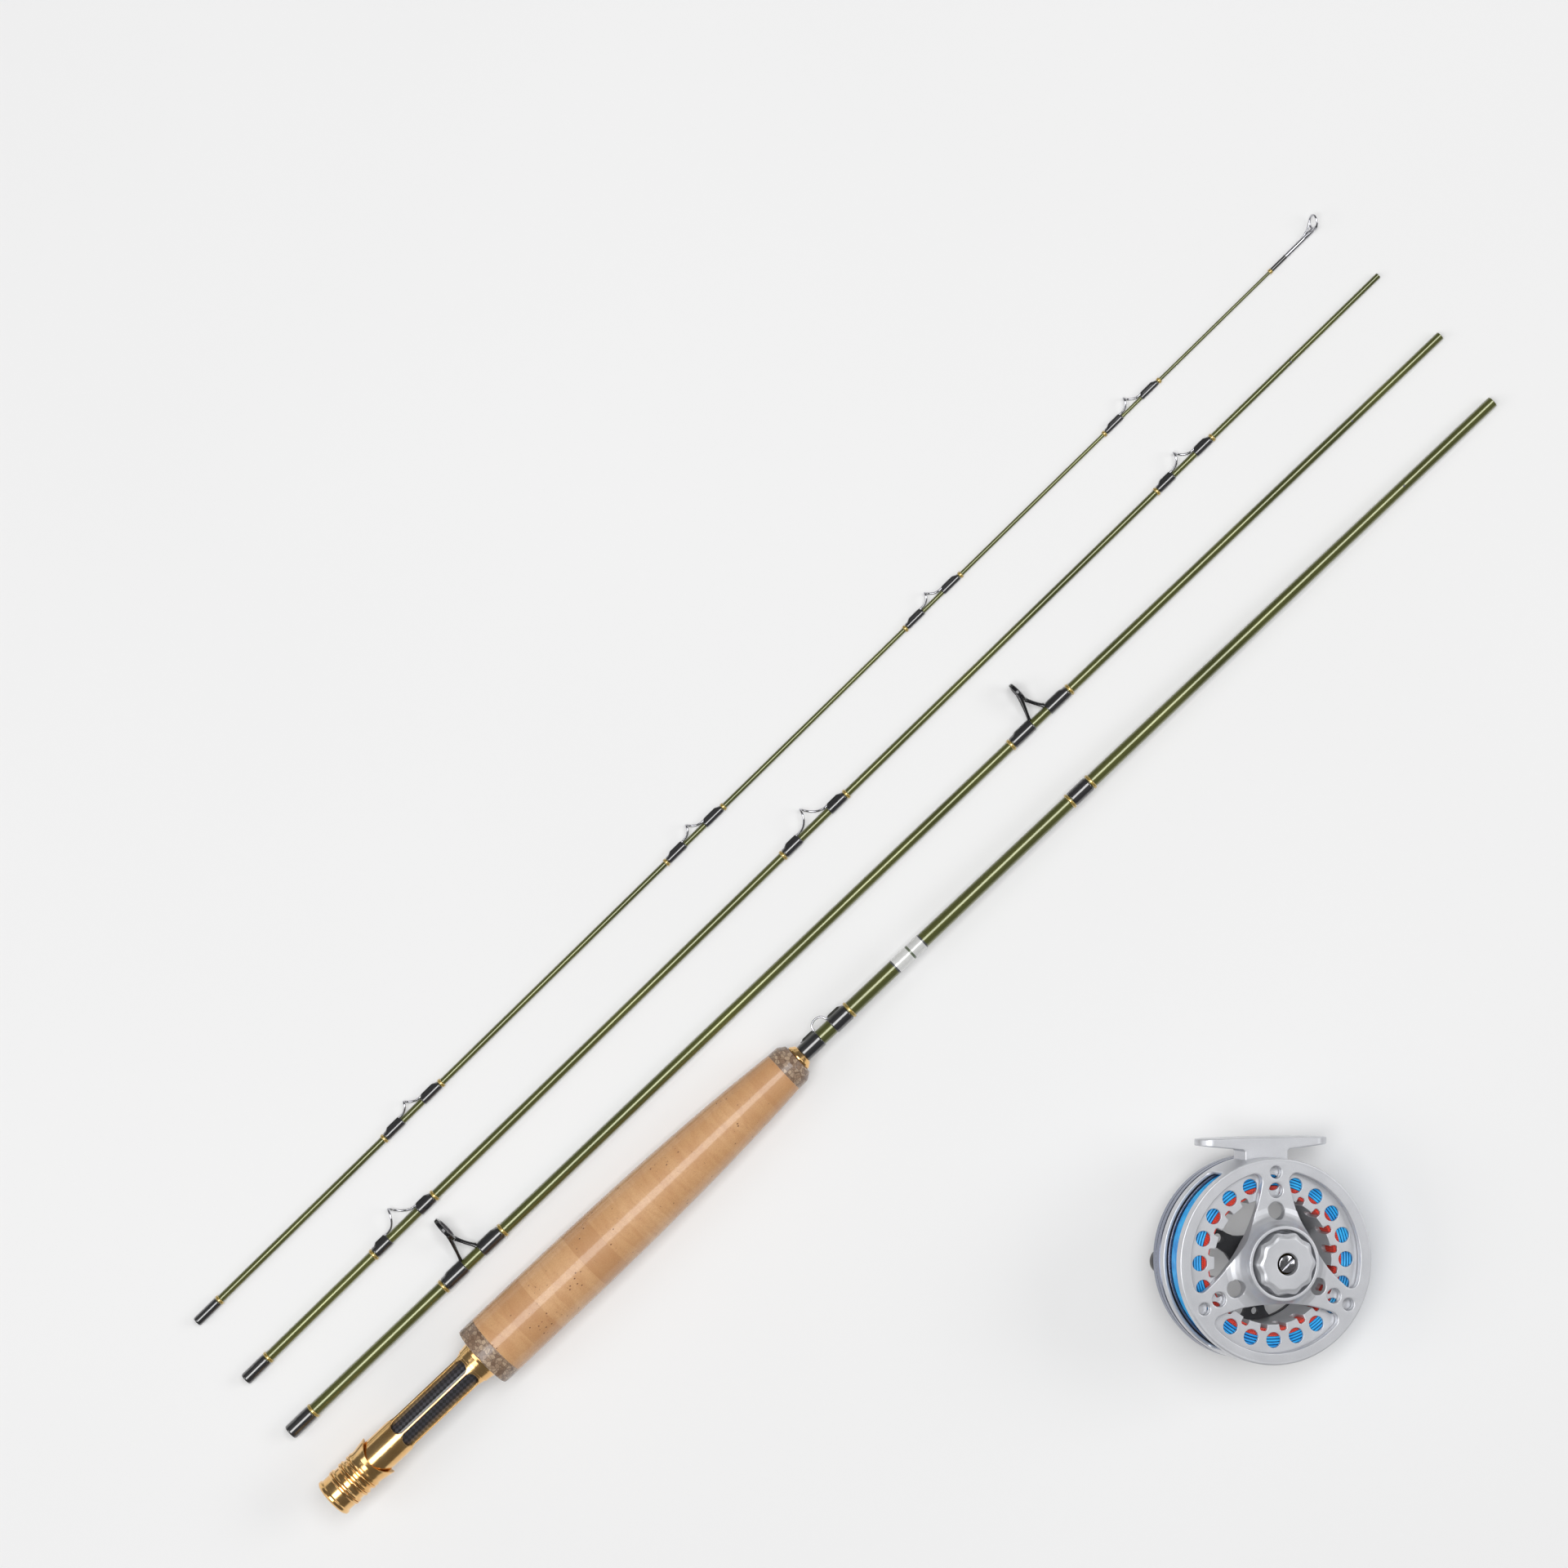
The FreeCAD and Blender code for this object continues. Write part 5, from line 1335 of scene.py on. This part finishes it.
def spool_web():
    """The far side of the spool: hub, three drilled spokes and the two bridges out to the rim."""
    low, high = WEB
    piece = turned([(low, 3.5, 0), (low, 9.0, 0.4), (-12.0, 9.0, 0.4), (-12.0, 7.1, 0), (-17.3, 7.1, 0),
                    (-17.3, 3.5, 0)], 4, about="Z")
    holes = []
    hub_radius, rim_radius, spoke, flare = 10.2, 25.6, 3.6, 6.6
    order = sorted(SPOKES)
    for first, second in zip(order, order[1:] + [order[0] + TURN]):
        lean = math.asin(flare / rim_radius)
        points = [(*point, 0) for point in arc(0, 0, rim_radius, first + lean, second - lean, 30)]
        widths = [(23.0, 4.9), (19.5, spoke + 0.35), (15.5, spoke), (12.5, spoke + 0.4),
                  (hub_radius + 0.6, 5.0)]
        for bearing, sign, steps in ((second, -1, widths), (first, 1, widths[::-1])):
            for reach, width in steps:
                angle = bearing + sign * math.asin(width / reach)
                points.append((reach * math.cos(angle), reach * math.sin(angle), 0.9))
        holes.append(rounded(points, 4))
    holes += [hole(angle, *size, 32) for angle in SPOKES for size in ((17.5, 2.0), (22.4, 1.5))]
    holes.append(circle(0, 0, 5.5))
    slab(piece, circle(0, 0, ARBOR[0] + 1.1, 120), holes, low + 0.04, high, 0.35)
    inner, outer, side = ARBOR[1] - 0.3, FLANGE - 1.0, 7.0
    edge = [(inner - 0.2, side + 1.6, 2.0), (32.5, side - 0.2, 2.0), (outer - 0.6, side + 1.2, 2.0)]
    strip = rounded([(x, -y, corner) for x, y, corner in edge] + [(outer + 0.2, 0, 2.0)] + edge[::-1])
    pin_hole = circle(BRIDGE_RADIUS, 0, 1.62, 24)
    for angle in (math.radians(BRIDGE), math.radians(BRIDGE) + math.pi):
        slab(piece, moved(strip, angle), [moved(pin_hole, angle)], low, high, 0.3)
    piece.show("spool_web", "spool", "dark_anodised", crease=38)


def far_rim():
    """The far flange and the palming rim outside the frame; both take a blue-grey colour that is a painted
    reflection.
    """
    far = LINE_ROOM[0]
    rim = [(far, FLANGE - 1.6, 0.2), (far, FLANGE, 0.3), (-23.4, FLANGE, 0.2), (-23.4, RIM - 0.6, 0.3),
           (-24.0, RIM, 0.3), (-26.8, RIM, 0.2), (-27.1, RIM - 0.45, 0.2), (-27.4, RIM, 0.2),
           (-30.4, RIM, 0.3), (-31.0, RIM - 0.6, 0.4), (-31.0, 39.1, 0.4), (-29.2, FLANGE - 1.6, 0.5)]
    holes = flange_holes() + [circle(0, 0, ARBOR[1] - 0.3, 120)]
    piece = slab(Piece(), circle(0, 0, FLANGE - 0.6, 160), holes, far - 1.4, far, 0.2)
    lathe(piece, rounded(rim), "Z", 150)
    piece.show("spool_palming_rim", "spool", "reel_silver", None, 38, "polished_rim")


def wound(piece, radius, height, thick, rise=0.0, sway=0.0, waves=1, steps=120, sides=8):
    """One turn on the spool that wanders a little in radius (rise) and along the spindle (sway)."""
    phase = LAY.uniform(0, TURN)
    rows = []
    for angle in turns(steps):
        middle = radius + rise * math.sin((waves + 2) * angle + phase)
        level = height + sway * math.sin(waves * angle + phase)
        row = []
        for turn in turns(sides):
            r = middle + thick * math.cos(turn)
            row.append((r * math.cos(angle), r * math.sin(angle), level + thick * math.sin(turn)))
        rows.append(row)
    piece.grid(rows, True, TURN * thick, [radius * TURN * k / steps for k in range(steps + 1)])


def core(name, slot, low, high, inner, outer):
    """What lies under the turns that show, in a darker paint that is painted shade between and below the turns."""
    lathe(Piece(), [(low, inner), (high, inner), (high, outer), (low, outer)], "Z", 96).show(
        name + "_core", "spool", slot, None, 60, name + "_shadow")


def line_and_backing():
    """The fly line and, under it, the backing: a core and the turns that show at both sides and on top."""
    far, near = LINE_ROOM
    line = 0.48
    floor, crown = 31.0, 39.3
    layers, across = 7, 11
    piece = Piece()
    for layer in range(layers):
        radius = floor + (crown - floor) / layers * (layer + 0.5)
        for height in (near - line - 0.06, far + line + 0.06):
            wound(piece, radius, height + LAY.uniform(-0.03, 0.03), line, LAY.uniform(0.02, 0.07))
    for index in range(across):
        height = near - line - 0.06 - (near - far - 2 * line - 0.12) * (index / (across - 1))
        sway = LAY.uniform(0.1, 0.3) if 0 < index < across - 1 else 0.0
        wound(piece, crown - line, height, line, 0.06, sway)
    for _ in range(4):                 # a few turns lie slantwise over the others
        height = (near + far) / 2 + LAY.uniform(-1.2, 1.2)
        wound(piece, crown - line + 0.3, height, line * 0.96, sway=LAY.uniform(1.8, 3.8), steps=140)
    piece.show("wound_line", "spool", "line_blue", "fly_line", 60)
    core("line", "line_blue", far + 0.7, near - 0.7, floor + 0.1, crown - 0.7)

    cord = 0.3
    inner = ARBOR[1] + 0.05
    layers, across = 5, 19
    piece = Piece()
    for layer in range(layers):
        radius = inner + cord + (floor - inner - 2 * cord) * layer / (layers - 1)
        for height in (near - cord - 0.04, far + cord + 0.04):
            wound(piece, radius, height, cord, 0.05, steps=110, sides=6)
    for index in range(across):
        height = near - cord - 0.05 - (near - far - 2 * cord - 0.1) * index / (across - 1)
        wound(piece, inner + cord, height, cord * 1.04, 0.0, 0.1, 2, 110, 6)
    piece.show("wound_backing", "spool", "backing_red", "backing", 60)
    core("backing", "backing_red", far + 0.5, near - 0.5, inner + 0.3, floor - 0.05)


def bar_frame(bearing):
    """The frame of a part that stands on a bridge of the spool."""
    turn = Matrix.Rotation(math.radians(bearing), 4, "Z")
    return REEL @ turn @ Matrix.Translation((BRIDGE_RADIUS, 0, 0))


def handle():
    """The handle knob, its pin, the counterweight opposite and the cap in the middle."""
    place = bar_frame(BRIDGE)
    (_, _, bottom), (widest, _, top) = extent("handle_knob", place)
    turned([(top, 1.7, 0), (top, 5.0, 0.4), (top - 2.0, 4.9, 0.7), (top - 6.7, 3.9, 3.0),
            (top - 14.0, widest - 0.5, 3.0), (top - 18.6, widest, 1.6), (bottom + 1.0, 5.6, 0.8),
            (bottom, 4.9, 0.6), (bottom, 3.3, 0.3), (bottom + 2.2, 3.1, 0), (bottom + 2.2, 1.7, 0)], 7,
           about="Z").show("handle_grip", "handle_knob", "handle_black", "handle_knob", place=place)
    bottom, top = heights("handle_post", place)
    turned([(bottom, 0.01, 0), (bottom, 2.5, 0.6), (bottom + 0.8, 3.0, 0.4), (bottom + 1.4, 3.0, 0.1),
            (bottom + 1.4, 1.6, 0), (top, 1.6, 0.2), (top, 0.01, 0)], 5, 40, "Z", False).show(
        "handle_pin", "spool", "bare_steel", "handle_post", place=place)
    place = bar_frame(BRIDGE - 180)
    bottom, top = heights("counterweight", place)
    face = bottom + 2.4
    turned([(bottom, 0.01, 0), (bottom, 4.6, 0.7), (bottom + 0.6, 5.2, 0.4), (face, 5.2, 0.2),
            (face, 1.6, 0), (top, 1.6, 0.2), (top, 0.01, 0)], 5, 56, "Z", False).show(
        "balance_weight", "spool", "reel_silver", "counterweight", place=place)
    bottom, top = heights("spool_cap", REEL)
    ridge = bottom + 0.3
    turned([(bottom, 0.01, 0), (bottom, 5.2, 0.3), (ridge, 5.5, 0.2), (ridge, 6.6, 0.3), (bottom, 7.0, 0.3),
            (ridge, 7.8, 0.5), (bottom + 1.0, 8.0, 0.3), (top, 8.0, 0.2), (top, 0.01, 0)], 4, 72, "Z",
           False).show("spool_end_cap", "spool", "reel_silver", "spool_cap")


reel_casting()
reel_foot()
drag_knob()
knob_screw()
near_flange()
arbor()
spool_web()
far_rim()
line_and_backing()
handle()


# ---------------------------------------------------------------- CAD nodes that stay as they are

NODE_SLOTS = {part["node"]: part["material_slot"] for part in frame["record"]["subparts"]}
for node, item in frame["nodes"].items():
    if item.hide_render:
        continue
    item.data.materials.clear()
    item.data.materials.append(PAINTS[NODE_SLOTS[node]])


# ---------------------------------------------------------------- stage, light and camera

def stage():
    """A plain pale floor, wide enough to reach past every view."""
    mesh = bpy.data.meshes.new("floor")
    half = 6.0
    corners = [(-half, -half, 0), (half, -half, 0), (half, half, 0), (-half, half, 0)]
    mesh.from_pydata(corners, [], [range(4)])
    floor = linked("floor", mesh)
    paint = Paint("floor_paint", Roughness=0.8, Emission_Color=WHITE, Emission_Strength=0.14)
    tone = paint.noise(400, None, 2)
    paint.colour(paint.ramp(tone, (0.3, 0.7), (0.7, 0.72)))
    mesh.materials.append(paint.material)


def area_light(name, place, aim, width, length, power):
    """A soft box that faces a point."""
    data = bpy.data.lights.new(name, "AREA")
    data.shape = "RECTANGLE"
    data.size = width
    data.size_y = length
    data.energy = power
    item = linked(name, data)
    item.location = place
    item.rotation_euler = (aim - place).to_track_quat("-Z", "Y").to_euler()


def lights():
    """A long soft box overhead, one at each side, and a faint neutral surround."""
    world = bpy.data.worlds.new("studio")
    world.use_nodes = True
    background = world.node_tree.nodes["Background"].inputs
    background["Color"].default_value = WHITE
    background["Strength"].default_value = 0.14
    bpy.context.scene.world = world
    centre = (cad_low + cad_high) / 2
    area_light("overhead", centre + Vector((0, 0.3, 2.3)), centre, 2.4, 1.1, 46)
    area_light("left_fill", centre + Vector((-1.8, 1.2, 1.5)), centre, 1.4, 1.0, 11)
    area_light("right_fill", centre + Vector((1.9, -1.1, 1.4)), centre, 1.4, 1.0, 15)


def camera():
    """A long lens straight above; the picture's up direction is turned off the rods' length."""
    data = bpy.data.cameras.new("camera")
    data.lens = 100
    data.sensor_width = 36
    data.clip_end = 20
    width = 0.6582                     # metres across the picture at the rods' height
    rods = 0.005                       # about how high the rods lie
    item = linked("camera", data)
    x, y, _ = MOUNTS["butt_cap_face"]["pos_m"]
    item.location = (x + 0.3428, y + 0.0836, width * data.lens / data.sensor_width + rods)
    item.rotation_euler = (0, 0, -ROD_BEARING)
    bpy.context.scene.camera = item


stage()
lights()
camera()
bpy.context.scene.view_settings.view_transform = "Standard"
